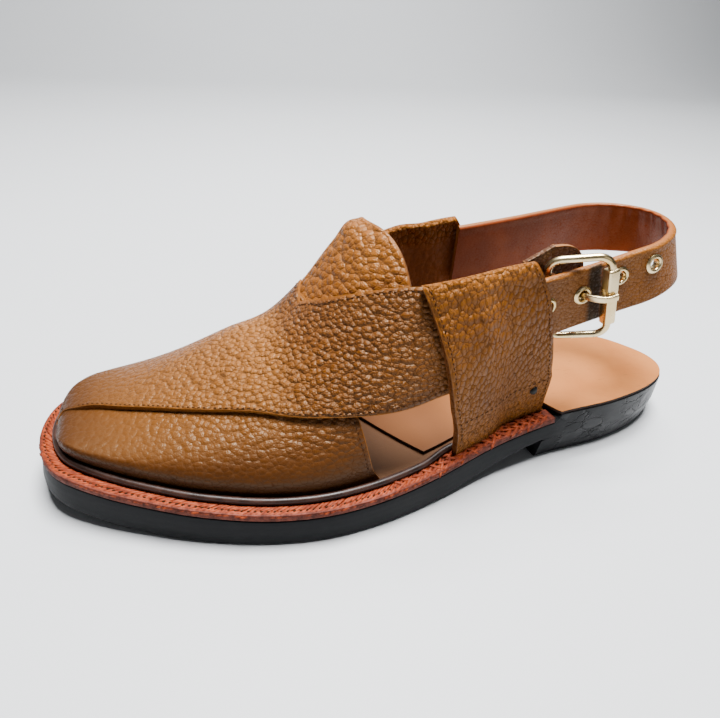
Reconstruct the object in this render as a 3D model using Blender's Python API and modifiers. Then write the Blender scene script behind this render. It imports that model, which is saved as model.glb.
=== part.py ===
"""Crossed-strap leather chappal, left shoe: toe at -X, heel at +X, outer (lateral) side at -Y.

Sizes are in millimetres, and MM turns them into metres as each mesh is made.
"""
import math

import bmesh
import bpy
import numpy as np
from mathutils import Vector

MM = 0.001
GAP = 0.3            # clearance between pieces that touch on the real shoe

# Driving sizes of the sole
HALF_LENGTH = 146.0  # half of the sole's length
TOE_SWING = 10.6     # how far the toe turns towards the inner side
AXIS_SHIFT = 1.2     # sideways shift that centres the outline on the origin
WELT_THICK = 3.2     # welt with its clearance
SEAT_RISE = 0.5      # heel seat above the rim
SEAT_FRONT = 62.0    # where the welt ends and the heel seat starts
EDGE = 1.2           # chamfer of the sole's lower edge

# Sole outline: half widths from the swung centre line, height of the rim, height of the underside
SOLE_COLUMNS = ("x", "lateral", "medial", "rim", "under")
SOLE_ROWS = (
    (146.0, 0.0, 0.0, 19.8, 10.6),
    (140.2, 12.6, 14.2, 20.4, 10.7),
    (131.4, 19.4, 23.0, 21.4, 10.8),
    (116.8, 26.0, 30.0, 22.3, 10.9),
    (93.4, 31.2, 34.0, 22.6, 10.9),
    (58.4, 33.6, 31.2, 21.9, 10.4),
    (29.2, 38.4, 29.2, 19.5, 5.2),
    (0.0, 46.4, 31.6, 16.8, 0.3),
    (-29.2, 53.2, 38.5, 15.3, 0.0),
    (-46.7, 55.4, 42.8, 15.0, 0.0),
    (-64.2, 54.8, 44.8, 14.9, 0.0),
    (-87.6, 50.2, 43.8, 15.7, 0.0),
    (-111.0, 41.6, 39.6, 17.3, 1.2),
    (-128.5, 32.2, 31.4, 18.8, 3.6),
    (-140.2, 21.8, 21.4, 19.8, 6.0),
    (-146.0, 0.0, 0.0, 20.1, 7.4),
)

# The last: ridge height and sideways place, then for each side how far and how high the widest
# place stands out over the feather line, and how full the section is above it
LAST_COLUMNS = (
    "x", "ridge", "offset", "lateral_bulge", "medial_bulge",
    "lateral_widest", "medial_widest", "lateral_full", "medial_full",
)
LAST_ROWS = (
    (-138.4, 20.4, 10.0, 1.7, 1.7, 7.0, 7.0, 2.15, 2.10),
    (-136.6, 24.4, 10.1, 1.7, 1.7, 7.0, 7.0, 2.15, 2.00),
    (-133.0, 26.4, 10.3, 1.8, 1.8, 7.0, 7.0, 2.10, 1.90),
    (-126.0, 28.0, 10.8, 1.9, 1.9, 7.0, 7.0, 2.00, 1.80),
    (-112.0, 31.4, 12.0, 2.0, 2.0, 7.0, 7.0, 1.85, 1.72),
    (-92.0, 39.4, 14.0, 1.8, 1.8, 7.0, 7.5, 1.65, 1.75),
    (-70.0, 49.8, 15.5, 1.5, 1.8, 7.0, 8.0, 1.50, 1.82),
    (-50.0, 60.0, 16.5, 1.2, 2.0, 7.0, 10.0, 1.50, 1.85),
    (-38.0, 73.0, 16.5, 0.8, 2.6, 7.0, 13.0, 1.50, 1.95),
    (-26.0, 89.6, 15.5, 0.4, 3.6, 7.0, 17.0, 1.60, 2.05),
    (-14.0, 101.5, 13.5, 0.2, 5.0, 8.0, 22.0, 1.90, 2.15),
    (0.0, 107.0, 11.0, 0.8, 6.6, 14.0, 28.0, 2.40, 2.40),
    (30.0, 108.5, 6.0, 3.0, 9.0, 30.0, 34.0, 3.20, 3.20),
    (66.0, 109.0, 3.0, 3.6, 6.5, 34.0, 36.0, 3.60, 3.60),
)
FEATHER_INSET = 9.8     # inset of the last's lower edge from the rim
FEATHER_MEDIAL = 1.6    # how much more that is on the inner side, behind the toe
FEATHER_RAMP = (0.067, 0.233)  # shares of the outline over which that difference comes in
FEATHER_RISE = 0.7      # the same edge above the rim
TURN = math.radians(25)  # how far a section runs on below its widest place
TOE_ZONE = 24.0         # length of the toe over which the bulge points forward
TIP_SHARE = 0.05        # share of the last's length coordinate over which the very tip closes


def lerp(start, end, share):
    return start + (end - start) * share


def ease(low, high, at):
    """0 below low, 1 above high, and a smooth step between."""
    share = min(max((at - low) / (high - low), 0.0), 1.0)
    return share * share * (3 - 2 * share)


def column(columns, rows, name):
    """One named column of a table."""
    place = columns.index(name)
    return np.array([row[place] for row in rows])


def smooth(knots, values, at):
    """A smooth curve through a table's values, read at one place."""
    slopes = np.gradient(values, knots)
    i = int(np.clip(np.searchsorted(knots, at) - 1, 0, len(knots) - 2))
    step = knots[i + 1] - knots[i]
    f = (at - knots[i]) / step
    start = (1 + 2 * f) * (1 - f) ** 2 * values[i] + f * (1 - f) ** 2 * step * slopes[i]
    end = f * f * (3 - 2 * f) * values[i + 1] + f * f * (f - 1) * step * slopes[i + 1]
    return float(start + end)


SOLE_VALUES = {name: column(SOLE_COLUMNS, SOLE_ROWS, name) for name in SOLE_COLUMNS}
SOLE_ANGLES = np.arccos(np.clip(SOLE_VALUES["x"] / HALF_LENGTH, -1, 1))


def sole(x, name):
    """A column of the sole's table at a place along the shoe."""
    angle = math.acos(max(-1.0, min(1.0, x / HALF_LENGTH)))
    return smooth(SOLE_ANGLES, SOLE_VALUES[name], angle)


def centre_line(x):
    """The sole's centre line, which swings inward from the waist to the toe."""
    u = min(max(-x / HALF_LENGTH, 0.0), 1.0)
    return AXIS_SHIFT + TOE_SWING * u * u * (3 - 2 * u)


def rim_point(p):
    """The sole's outline: p is 0 at the toe, -1 at the heel round the outer side, 1 round the inner side."""
    p = (p + 1) % 2 - 1 if abs(p) > 1 else p
    x = -HALF_LENGTH * math.cos(math.pi * p)
    half = -sole(x, "lateral") if p < 0 else sole(x, "medial")
    return np.array([x, centre_line(x) + half])


def inset_point(p, inset):
    """The outline moved inward by a distance."""
    step = 0.004
    along = rim_point(p + step) - rim_point(p - step)
    inward = np.array([along[1], -along[0]]) / np.hypot(*along)
    return rim_point(p) + inset * inward


def feather_side(side, more):
    """The x and y of one side of the last's lower edge, from toe to heel."""
    places = np.linspace(0.0, 1.0, 161)
    insets = FEATHER_INSET + np.interp(places, FEATHER_RAMP, (0.0, more))
    points = np.array([inset_point(side * p, inset) for p, inset in zip(places, insets)])
    return points[:, 0], points[:, 1]


FEATHER = {-1: feather_side(-1, 0.0), 1: feather_side(1, FEATHER_MEDIAL)}
LAST_X = column(LAST_COLUMNS, LAST_ROWS, "x")
LAST_SPAN = LAST_X[-1] - LAST_X[0]
LAST_U = np.sqrt((LAST_X - LAST_X[0]) / LAST_SPAN)
LAST_VALUES = {name: column(LAST_COLUMNS, LAST_ROWS, name) for name in LAST_COLUMNS}


def along_last(x):
    """The last's own length coordinate: 0 at its toe, spaced so that the toe comes out round."""
    return math.sqrt(max(x - LAST_X[0], 0.0) / LAST_SPAN)


def last_point(u, t):
    """A point of the last: u runs from toe to heel, t from -1 (outer feather line) over 0 (ridge) to 1."""
    x = LAST_X[0] + LAST_SPAN * u * u
    side, half = (-1, "lateral") if t < 0 else (1, "medial")
    row = {name: smooth(LAST_U, LAST_VALUES[name], u) for name in LAST_COLUMNS[1:]}
    bulge, full = row[half + "_bulge"], row[half + "_full"]
    tip = min(1.0, u / TIP_SHARE)
    toe_share = max(0.0, 1 - (x - LAST_X[0]) / TOE_ZONE)
    ridge_y = row["offset"] + AXIS_SHIFT
    feather = float(np.interp(x + bulge * toe_share, *FEATHER[side]))
    width = (abs(feather - ridge_y) + bulge) * tip
    low = sole(x, "rim") + FEATHER_RISE
    widest = low + min(row[half + "_widest"], row["ridge"] - low) * tip
    angle = abs(t) * (math.pi / 2 + TURN)
    if angle <= math.pi / 2:
        out = width * math.sin(angle) ** (2 / full)
        up = widest + (row["ridge"] - widest) * max(math.cos(angle), 0.0) ** (2 / full)
    else:
        below = angle - math.pi / 2
        tucked = bulge * ease(0.0, TURN, below)
        out = width - tucked * tip
        up = widest - (widest - low) * math.sin(below) / math.sin(TURN)
        x += tucked * toe_share
    return np.array([x, ridge_y + side * out, up])


def last_normal(u, t):
    """The outward direction of the last's surface, level where the wall turns in below."""
    step = 0.004
    u = max(u, 2 * step)
    along = last_point(min(u + step, 1.0), t) - last_point(u - step, t)
    over = last_point(u, min(t + step, 1.0)) - last_point(u, max(t - step, -1.0))
    normal = np.cross(along, over)
    normal[2] = max(normal[2], 0.0)
    return normal / np.linalg.norm(normal)


def at_height(x, height, side):
    """The t of the place on one side of the last that lies at a height."""
    u = along_last(x)
    low, high = 0.0, 1.0
    for _ in range(24):
        middle = (low + high) / 2
        above = last_point(u, side * middle)[2] > height
        low, high = (middle, high) if above else (low, middle)
    return side * (low + high) / 2


def on_last(x, t, lift):
    """A point that lies a distance off the last's surface."""
    u = along_last(x)
    return last_point(u, t) + lift * last_normal(u, t)


# Crossed straps: front and rear edge of one strap, from its toe end (s 0) to its quarter end (s 1).
# The t of the table is for the over strap, which starts on the inner side and ends on the outer side.
STRAP_COLUMNS = ("s", "front_x", "front_t", "rear_x", "rear_t")
OVER_STRAP_ROWS = (
    (0.00, -134.0, 1.00, -24.0, 1.00),
    (0.14, -135.6, 0.66, -30.5, 0.66),
    (0.28, -135.8, 0.24, -36.5, 0.30),
    (0.36, -130.0, 0.02, -39.5, 0.06),
    (0.42, -121.5, -0.08, -42.0, -0.11),
    (0.56, -103.0, -0.25, -35.2, -0.195),
    (0.68, -86.0, -0.35, -27.2, -0.265),
    (0.80, -60.0, -0.445, -18.8, -0.315),
    (0.91, -24.0, -0.595, -7.7, -0.365),
    (1.00, 7.0, -0.725, 2.5, -0.385),
)
UNDER_STRAP_ROWS = (
    (0.00, -137.8, -1.00, -24.5, -1.00),
    (0.14, -137.8, -0.70, -30.8, -0.64),
    (0.28, -137.8, 0.00, -36.5, -0.36),
    (0.36, -137.4, 0.42, -39.5, -0.16),
    (0.42, -134.5, 0.56, -42.0, 0.02),
    (0.56, -122.0, 0.63, -35.2, 0.195),
    (0.68, -96.0, 0.66, -27.2, 0.265),
    (0.80, -62.0, 0.62, -18.8, 0.315),
    (0.91, -24.0, 0.61, -7.7, 0.365),
    (1.00, 7.0, 0.725, 2.5, 0.385),
)
NOTCH = 0.42            # s of the notch on the ridge, where the rear edge turns
UNDER_THICK = 1.8       # leather of the under strap
OVER_LIFT = 1.4         # the over strap's inner face, sunk into the under strap where they are joined
OVER_THICK = 2.0
OVER_SETTLES = (0.72, 0.92)  # t over which the over strap comes down to the last, below the under strap

# Tongue: its rear edge on the ridge, where it is rounded off, and at its sides; then its front edge
TONGUE_PEAK_X = -16.5
TONGUE_SIDE_X = -10.0
TONGUE_PEAK_T = 0.20    # half width of the rounded peak
TONGUE_SIDE_T = 0.42
TONGUE_FRONT_X = -66.0
TONGUE_THICK = 1.6
TONGUE_DROP = 0.6       # the tongue's outer face below the under strap's inner face
TONGUE_SWELL = 2.4      # how far its bare part swells up along the ridge
TONGUE_SWELL_T = 0.15   # half width of that swelling
TONGUE_BARE = (-42.0, -26.0)  # places along the shoe over which the straps leave it bare

# Quarters: front and rear edge on the last, as places along the shoe and heights, from bottom to top;
# then the lift of the inner face over the strap end and behind it
QUARTER_COLUMNS = ("v", "front_x", "front_z", "lateral_rear_x", "medial_rear_x", "rear_z")
QUARTER_ROWS = (
    (0.00, 9.6, 0.0, 58.6, 58.6, 0.0),
    (0.12, 6.6, 25.0, 57.2, 57.2, 31.0),
    (0.36, 2.0, 44.0, 53.6, 53.0, 48.0),
    (0.60, -1.7, 63.0, 48.6, 47.0, 65.0),
    (0.80, -4.2, 75.0, 42.8, 40.0, 81.0),
    (1.00, -6.8, 85.4, 34.4, 31.0, 93.6),
)
QUARTER_BOW = 1.3       # how far the top edge bows up between its ends
QUARTER_THICK = 2.6
QUARTER_LIFT_FRONT = 4.0
QUARTER_LIFT_REAR = 0.7
QUARTER_LIFT_SHARES = (0.30, 0.62)  # shares from front to rear over which the lift falls
QUARTER_FOLD = 0.8      # extra thickness of the folded top edge
QUARTER_FOLD_SHARES = (0.90, 0.95)  # shares of the height over which the fold comes in
QUARTER_ROUND_SHARES = (0.95, 1.02)  # shares of the height over which both faces round in at the top
QUARTER_LEVELS = (0.0, 0.08, 0.18, 0.32, 0.48, 0.64, 0.78, 0.88, 0.94, 0.98, 1.0)

# Welt, piping, insole and sock
WELT_WIDTH = 14.0
PIPING_RADIUS = 2.0
PIPING_INSET = 4.5
PIPING_END_X = 5.0
INSOLE_INSET = WELT_WIDTH + GAP
INSOLE_TOP = 0.5        # top of the board above the rim
SOCK_THICK = 1.4
SOCK_REAR_INSET = 1.2
SOCK_WAIST_INSET = 12.5
SOCK_FRONT_X = -19.0    # where the slanting front edge crosses the middle of the shoe
SOCK_SLANT = 0.42       # how far that edge runs back for each millimetre towards the outer side
SOCK_WIDENS = (61.0, 67.0)  # where the sock opens out from the waist to the heel seat
INSOLE_END_X = 58.0

# Heel
HEEL_BREAST_X = 57.0
HEEL_TAPER = 1.6

# Sling strap: straight sides and a round back, seen from above
SLING_FRONT_X = 31.5
SLING_TAIL_X = 36.0
SLING_BACK_X = 89.6     # where the round back starts
SLING_MIDDLE_Y = 0.6
SLING_RADIUS = 25.9     # outer face of the strap
SLING_THICK = 2.6
SLING_COLUMNS = ("p", "top", "bottom", "flare")
SLING_ROWS = (
    (0.00, 91.0, 64.0, 0.0),
    (0.15, 94.5, 68.0, 0.5),
    (0.30, 98.5, 72.5, 3.5),
    (0.42, 101.0, 76.5, 7.0),
    (0.52, 101.8, 80.4, 8.5),
    (0.62, 100.2, 78.8, 7.5),
    (0.72, 96.3, 71.8, 3.0),
    (0.84, 90.8, 64.4, 0.5),
    (1.00, 84.2, 55.6, 0.0),
)

# Buckle on the outer side of the strap, which slopes there
BUCKLE_SLOPE = math.radians(14)
BUCKLE_CENTRE = (61.4, 76.4)      # x and z of the frame's middle
BUCKLE_LONG = 20.4                # between the middles of the two end bars
BUCKLE_WIDE = 35.0                # between the middles of the two side bars
BUCKLE_CORNER = 4.5
BUCKLE_WIRE = 1.5
ROLLER_RADIUS = 2.3
ROLLER_LENGTH = 24.5
ROLLER_CLEAR = 2.8                # roller clear of the strap and the eyelet below it
PRONG_RADIUS = 1.2
PRONG_TIP = 1.6                   # how far the prong reaches past the roller bar's middle
PRONG_REST = 3.0                  # where it comes to rest, in front of that bar
# Bends of the prong: place behind the eyelet's middle, then how far out from the strap's inner side
PRONG_INSIDE = ((-6.0, -0.6), (-2.2, -0.2), (-0.5, 1.2), (0.0, 3.2))
PRONG_OUTSIDE = (0.6, 1.9)        # the next bend, the second value from the strap's outer face
CHAPE_THICK = 2.0
CHAPE_LOOP_RADIUS = 3.3
CHAPE_LOOP_LENGTH = 8.0
CHAPE_LOOP_START = 2.8            # inner end of each loop from the buckle's middle line
CHAPE_SPAN = (-14.0, 21.7)        # lower and upper edge of the guard tab, across the strap
CHAPE_ENDS = (-19.0, 7.7)         # its front end and its rounded rear end, along the strap
CHAPE_ROUNDING = 3.5              # how square that rounded end is
CHAPE_TAPER = 0.17                # how much narrower the tab is at its front end
EYELET_ROWS = ((47.2, 1.6), (62.7, 1.4), (78.2, 4.4), (93.2, 4.4))  # place, and rise over the strap's middle
EYELET_FLANGE = 4.2
EYELET_BORE = 2.3
EYELET_TUBE = 2.8
EYELET_FLANGE_THICK = 0.8
STUD_PLACE = (47.9, 36.5)         # place along the shoe and height on the outer quarter
STUD_RADIUS = 2.0
STUD_HEIGHT = 1.2

# Finishes: colour, roughness and metallic value
FINISHES = {
    "sole_black": ((0.020, 0.022, 0.024), 0.35, 0.0),
    "welt_orange": ((0.40, 0.095, 0.035), 0.55, 0.0),
    "piping_brown": ((0.050, 0.022, 0.014), 0.25, 0.0),
    "insole_tan": ((0.60, 0.36, 0.20), 0.60, 0.0),
    "upper_tan": ((0.30, 0.125, 0.032), 0.45, 0.0),
    "lining_brown": ((0.13, 0.040, 0.018), 0.60, 0.0),
    "stud_black": ((0.015, 0.014, 0.013), 0.40, 0.0),
    "buckle_gold": ((0.82, 0.66, 0.40), 0.25, 1.0),
}


def clear_scene():
    for old in list(bpy.data.objects):
        bpy.data.objects.remove(old, do_unlink=True)


def make_collection(name):
    made = bpy.data.collections.new(name)
    bpy.context.scene.collection.children.link(made)
    return made


def make_material(name):
    colour, roughness, metallic = FINISHES[name]
    material = bpy.data.materials.new(name)
    material.use_nodes = True
    shader = material.node_tree.nodes["Principled BSDF"]
    shader.inputs["Base Color"].default_value = (*colour, 1.0)
    shader.inputs["Roughness"].default_value = roughness
    shader.inputs["Metallic"].default_value = metallic
    return material


def finish(bm, name, material):
    """A named object of a finished mesh, with coincident points merged."""
    bmesh.ops.remove_doubles(bm, verts=bm.verts, dist=1e-6)
    mesh = bpy.data.meshes.new(name)
    bm.to_mesh(mesh)
    bm.free()
    mesh.shade_smooth()
    mesh.set_sharp_from_angle(angle=math.radians(40))
    made = bpy.data.objects.new(name, mesh)
    made.data.materials.append(MATERIALS[material])
    PARTS.objects.link(made)
    return made


def as_cutter(made):
    """Moves a helper to the cutters' collection and keeps it out of renders."""
    PARTS.objects.unlink(made)
    CUTTERS.objects.link(made)
    made.hide_render = True
    made.display_type = "WIRE"
    return made


def thicken(made, thickness, offset):
    """A wall of real thickness on an open surface."""
    wall = made.modifiers.new("wall", "SOLIDIFY")
    wall.thickness = thickness * MM
    wall.offset = offset
    wall.use_quality_normals = True
    return made


def combine(made, other, operation):
    """Joins a helper to a piece, or cuts it away."""
    cut = made.modifiers.new(other.name, "BOOLEAN")
    cut.operation = operation
    cut.solver = "EXACT"
    cut.object = as_cutter(other)
    return made


def sheet(name, material, cells, place):
    """A grid of cells laid on a surface: place gives the point for two shares from 0 to 1."""
    bm = bmesh.new()
    bmesh.ops.create_grid(bm, x_segments=cells[0], y_segments=cells[1], size=0.5)
    for vertex in bm.verts:
        vertex.co = place(vertex.co.x + 0.5, vertex.co.y + 0.5) * MM
    return finish(bm, name, material)


def loft(name, material, rings):
    """A solid through closed sections that all have the same number of points."""
    bm = bmesh.new()
    loops = [[bm.verts.new(point * MM) for point in ring] for ring in rings]
    count = len(loops[0])
    for first, second in zip(loops, loops[1:]):
        for i in range(count):
            j = (i + 1) % count
            bm.faces.new((first[i], first[j], second[j], second[i]))
    bm.faces.new(loops[0][::-1])
    bm.faces.new(loops[-1])
    bmesh.ops.remove_doubles(bm, verts=bm.verts, dist=1e-6)
    bmesh.ops.dissolve_degenerate(bm, edges=bm.edges, dist=1e-7)
    bmesh.ops.recalc_face_normals(bm, faces=bm.faces)
    return finish(bm, name, material)


def wire(name, material, points, radius, cyclic=False):
    """A round bar along a path."""
    curve = bpy.data.curves.new(name, "CURVE")
    curve.dimensions = "3D"
    curve.bevel_depth = radius * MM
    curve.bevel_resolution = 2
    curve.use_fill_caps = not cyclic
    spline = curve.splines.new("POLY")
    spline.points.add(len(points) - 1)
    for target, point in zip(spline.points, points):
        target.co = (*(np.asarray(point) * MM), 1.0)
    spline.use_cyclic_u = cyclic
    made = bpy.data.objects.new(name, curve)
    made.data.materials.append(MATERIALS[material])
    PARTS.objects.link(made)
    return made


def place_along(x):
    """The outline's own coordinate at a place along the shoe."""
    return math.acos(-x / HALF_LENGTH) / math.pi


def raised(point, height):
    return np.array([point[0], point[1], height])


def sole_section(p):
    """One section of the outsole: up the outer side, then down the inner side."""
    lateral, medial = rim_point(-p), rim_point(p)
    x = lateral[0]
    under = max(sole(x, "under"), 0.0)
    top = sole(x, "rim") + (SEAT_RISE if x > SEAT_FRONT else -WELT_THICK)
    edge = min(EDGE, 0.3 * (medial[1] - lateral[1]))
    middle = lerp(lateral, medial, 0.5)
    inward = np.array([0.0, edge])
    outer = [raised(middle, under), raised(lateral + inward, under), raised(lateral, under + edge)]
    inner = [raised(medial, under + edge), raised(medial - inward, under)]
    return [*outer, raised(lateral, top), raised(middle, top), raised(medial, top), *inner]


def build_outsole():
    step = 0.0003
    seat = place_along(SEAT_FRONT)
    places = [*np.linspace(0.0, seat - step, 24), *np.linspace(seat + step, 1.0, 12)]
    return loft("outsole", "sole_black", [sole_section(p) for p in places])


def heel_section(p):
    top = sole(rim_point(p)[0], "under") - GAP
    lateral, medial = [inset_point(side * p, GAP) for side in (-1, 1)]
    lateral_low, medial_low = [inset_point(side * p, HEEL_TAPER) for side in (-1, 1)]
    return [raised(lateral_low, 0.0), raised(lateral, top), raised(medial, top), raised(medial_low, 0.0)]


def build_heel():
    places = np.linspace(place_along(HEEL_BREAST_X), 1.0, 16)
    return loft("heel", "sole_black", [heel_section(p) for p in places])


def build_welt():
    end = place_along(SEAT_FRONT - GAP)

    def place(a, b):
        point = inset_point(lerp(-end, end, a), WELT_WIDTH * (1 - b))
        point[0] = min(point[0], SEAT_FRONT - GAP)
        return raised(point, sole(point[0], "rim"))

    return thicken(sheet("welt", "welt_orange", (60, 1), place), WELT_THICK - GAP, -1)


def build_piping():
    end = place_along(PIPING_END_X)
    points = [inset_point(p, PIPING_INSET) for p in np.linspace(-end, end, 44)]
    path = [raised(point, sole(point[0], "rim") + GAP + PIPING_RADIUS) for point in points]
    return wire("piping", "piping_brown", path, PIPING_RADIUS)


def build_insole():
    end = place_along(INSOLE_END_X)

    def place(a, b):
        point = lerp(inset_point(-end * a, INSOLE_INSET), inset_point(end * a, INSOLE_INSET), b)
        return raised(point, sole(point[0], "rim") + INSOLE_TOP)

    board = sheet("insole", "insole_tan", (22, 3), place)
    return thicken(board, INSOLE_TOP + WELT_THICK - GAP, -1)


def build_sock():
    def place(a, b):
        across = lerp(rim_point(-0.5)[1], rim_point(0.5)[1], b)
        start = place_along(SOCK_FRONT_X - SOCK_SLANT * across)
        p = lerp(start, 1.0, a)
        inset = lerp(SOCK_WAIST_INSET, SOCK_REAR_INSET, ease(*SOCK_WIDENS, rim_point(p)[0]))
        point = lerp(inset_point(-p, inset), inset_point(p, inset), b)
        return raised(point, sole(point[0], "rim") + INSOLE_TOP + GAP + SOCK_THICK)

    return thicken(sheet("insole_sock", "insole_tan", (24, 4), place), SOCK_THICK, -1)


def strap_edge(rows, name, s):
    """One edge of a crossed strap. Its rear edge turns sharply at the notch."""
    if name.startswith("rear"):
        rows = [row for row in rows if (row[0] <= NOTCH if s <= NOTCH else row[0] >= NOTCH)]
    return smooth(column(STRAP_COLUMNS, rows, "s"), column(STRAP_COLUMNS, rows, name), s)


def strap_place(rows, lift, towards):
    """The surface of a strap: a runs from its front to its rear edge, b from the outer to the inner side."""
    def place(a, b):
        s = b if towards > 0 else 1 - b
        x = lerp(strap_edge(rows, "front_x", s), strap_edge(rows, "rear_x", s), a)
        t = lerp(strap_edge(rows, "front_t", s), strap_edge(rows, "rear_t", s), a)
        settled = lift * (1 - ease(*OVER_SETTLES, t))
        return on_last(max(x, LAST_X[0]), min(max(t, -1.0), 1.0), settled)

    return place


def build_upper():
    """Two straps that cross on the ridge, one over the other, joined into one wall with a step."""
    cells = (12, 32)
    under = sheet("under_strap", "upper_tan", cells, strap_place(UNDER_STRAP_ROWS, 0.0, 1))
    thicken(under, UNDER_THICK, 1)
    over = sheet("upper", "upper_tan", cells, strap_place(OVER_STRAP_ROWS, OVER_LIFT, -1))
    thicken(over, OVER_THICK, 1)
    return combine(over, under, "UNION")


def build_tongue():
    def place(a, b):
        t = lerp(-TONGUE_SIDE_T, TONGUE_SIDE_T, b)
        rear = lerp(TONGUE_SIDE_X, TONGUE_PEAK_X, math.exp(-(t / TONGUE_PEAK_T) ** 2))
        x = lerp(TONGUE_FRONT_X, rear, a)
        swell = TONGUE_SWELL * ease(*TONGUE_BARE, x) * math.exp(-(t / TONGUE_SWELL_T) ** 2)
        return on_last(x, t, swell - TONGUE_DROP)

    return thicken(sheet("tongue", "upper_tan", (10, 14), place), TONGUE_THICK, -1)


def quarter_value(name, v):
    return smooth(column(QUARTER_COLUMNS, QUARTER_ROWS, "v"), column(QUARTER_COLUMNS, QUARTER_ROWS, name), v)


def quarter_section(side, a):
    """One upright section of a quarter: up its outer face, over the fold, down its inner face."""
    lift = lerp(QUARTER_LIFT_FRONT, QUARTER_LIFT_REAR, ease(*QUARTER_LIFT_SHARES, a))
    half = QUARTER_THICK / 2
    rear = "lateral_rear_x" if side < 0 else "medial_rear_x"
    outer, inner = [], []
    for v in QUARTER_LEVELS:
        x = lerp(quarter_value("front_x", v), quarter_value(rear, v), a)
        bow = QUARTER_BOW * 4 * a * (1 - a) * v
        t = at_height(x, lerp(quarter_value("front_z", v), quarter_value("rear_z", v), a) + bow, side)
        open_share = 1 - ease(*QUARTER_ROUND_SHARES, v)
        fold = QUARTER_FOLD * ease(*QUARTER_FOLD_SHARES, v)
        outer.append(on_last(x, t, lift + half + (half + fold) * open_share))
        inner.append(on_last(x, t, lift + half * (1 - open_share)))
    return outer + inner[::-1]


def build_quarter(name, side):
    return loft(name, "upper_tan", [quarter_section(side, a) for a in np.linspace(0.0, 1.0, 15)])


def sling_path(p):
    """The strap seen from above: place of its outer face and outward direction, inner side first."""
    arc = math.pi * SLING_RADIUS
    first, last = SLING_BACK_X - SLING_FRONT_X, SLING_BACK_X - SLING_TAIL_X
    run = p * (first + arc + last)
    if run < first:
        return np.array([SLING_FRONT_X + run, SLING_MIDDLE_Y + SLING_RADIUS]), np.array([0.0, 1.0])
    if run > first + arc:
        x = SLING_BACK_X - (run - first - arc)
        return np.array([x, SLING_MIDDLE_Y - SLING_RADIUS]), np.array([0.0, -1.0])
    angle = math.pi / 2 - (run - first) / SLING_RADIUS
    out = np.array([math.cos(angle), math.sin(angle)])
    return np.array([SLING_BACK_X, SLING_MIDDLE_Y]) + SLING_RADIUS * out, out


def sling_value(name, p):
    return smooth(column(SLING_COLUMNS, SLING_ROWS, "p"), column(SLING_COLUMNS, SLING_ROWS, name), p)


def sling_point(p, share):
    """A point of the strap's outer face, share 0 at its lower and 1 at its upper edge."""
    point, out = sling_path(p)
    flare = sling_value("flare", p) * (1 - share)
    return raised(point + flare * out, lerp(sling_value("bottom", p), sling_value("top", p), share))


def sling_share(x):
    """The strap's own coordinate at a place on its outer side."""
    arc = math.pi * SLING_RADIUS
    total = 2 * SLING_BACK_X - SLING_FRONT_X - SLING_TAIL_X + arc
    if x > SLING_BACK_X:
        arc -= SLING_RADIUS * math.asin((x - SLING_BACK_X) / SLING_RADIUS)
        return (SLING_BACK_X - SLING_FRONT_X + arc) / total
    return 1 - (x - SLING_TAIL_X) / total


def eyelet_frame(x, rise):
    """Middle of an eyelet on the strap's outer face, and the outward direction there."""
    p = sling_share(x)
    high = sling_value("top", p) - sling_value("bottom", p)
    middle = sling_point(p, 0.5 + rise / high)
    along = sling_point(p - 0.01, 0.5) - sling_point(p + 0.01, 0.5)
    up = sling_point(p, 0.8) - sling_point(p, 0.2)
    out = np.cross(along, up)
    return middle, out / np.linalg.norm(out)


def ring(name, material, middle, axis, inner, outer, thick, segments=14):
    """A flat ring that starts at a point and stands along an axis."""
    bm = bmesh.new()
    axis = axis / np.linalg.norm(axis)
    side = np.cross(axis, (0.0, 0.0, 1.0))
    side /= np.linalg.norm(side)
    up = np.cross(side, axis)
    profile = ((inner, 0.0), (outer, 0.0), (outer, thick), (inner, thick))
    turns = []
    for i in range(segments):
        angle = 2 * math.pi * i / segments
        out = math.cos(angle) * side + math.sin(angle) * up
        turns.append([bm.verts.new((middle + r * out + h * axis) * MM) for r, h in profile])
    for i in range(segments):
        first, second = turns[i], turns[(i + 1) % segments]
        for j in range(len(profile)):
            k = (j + 1) % len(profile)
            bm.faces.new((first[j], first[k], second[k], second[j]))
    bmesh.ops.recalc_face_normals(bm, faces=bm.faces)
    return finish(bm, name, material)


def rod(name, material, start, end, radius, segments=14):
    """A straight round bar between two points."""
    middle, axis = (start + end) / 2, end - start
    length = float(np.linalg.norm(axis))
    bm = bmesh.new()
    bmesh.ops.create_cone(
        bm, cap_ends=True, segments=segments, radius1=radius * MM, radius2=radius * MM, depth=length * MM
    )
    turn = Vector((0.0, 0.0, 1.0)).rotation_difference(Vector(axis)).to_matrix()
    bmesh.ops.rotate(bm, verts=bm.verts, matrix=turn)
    bmesh.ops.translate(bm, verts=bm.verts, vec=Vector(middle * MM))
    return finish(bm, name, material)


def build_sling():
    def place(a, b):
        return sling_point(a, 1 - b)

    strap = thicken(sheet("sling_strap", "upper_tan", (44, 3), place), SLING_THICK, -1)
    for i, row in enumerate(EYELET_ROWS):
        middle, out = eyelet_frame(*row)
        reach = 3 * SLING_THICK * out
        hole = rod(f"eyelet_hole_{i + 1}", "upper_tan", middle - reach, middle + reach, EYELET_TUBE + GAP)
        combine(strap, hole, "DIFFERENCE")
    return strap


def build_eyelets():
    """A flange on the strap's outer face and a tube through it, as one turned piece."""
    for i, row in enumerate(EYELET_ROWS):
        middle, out = eyelet_frame(*row)
        foot = middle - SLING_THICK * out
        high = SLING_THICK + 2 * GAP
        tube = ring(f"eyelet_{i + 1}", "buckle_gold", foot, out, EYELET_BORE, EYELET_TUBE, high)
        flange = ring(
            f"eyelet_flange_{i + 1}", "buckle_gold", middle + GAP * out, out,
            EYELET_BORE, EYELET_FLANGE, EYELET_FLANGE_THICK,
        )
        combine(tube, flange, "UNION")


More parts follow.
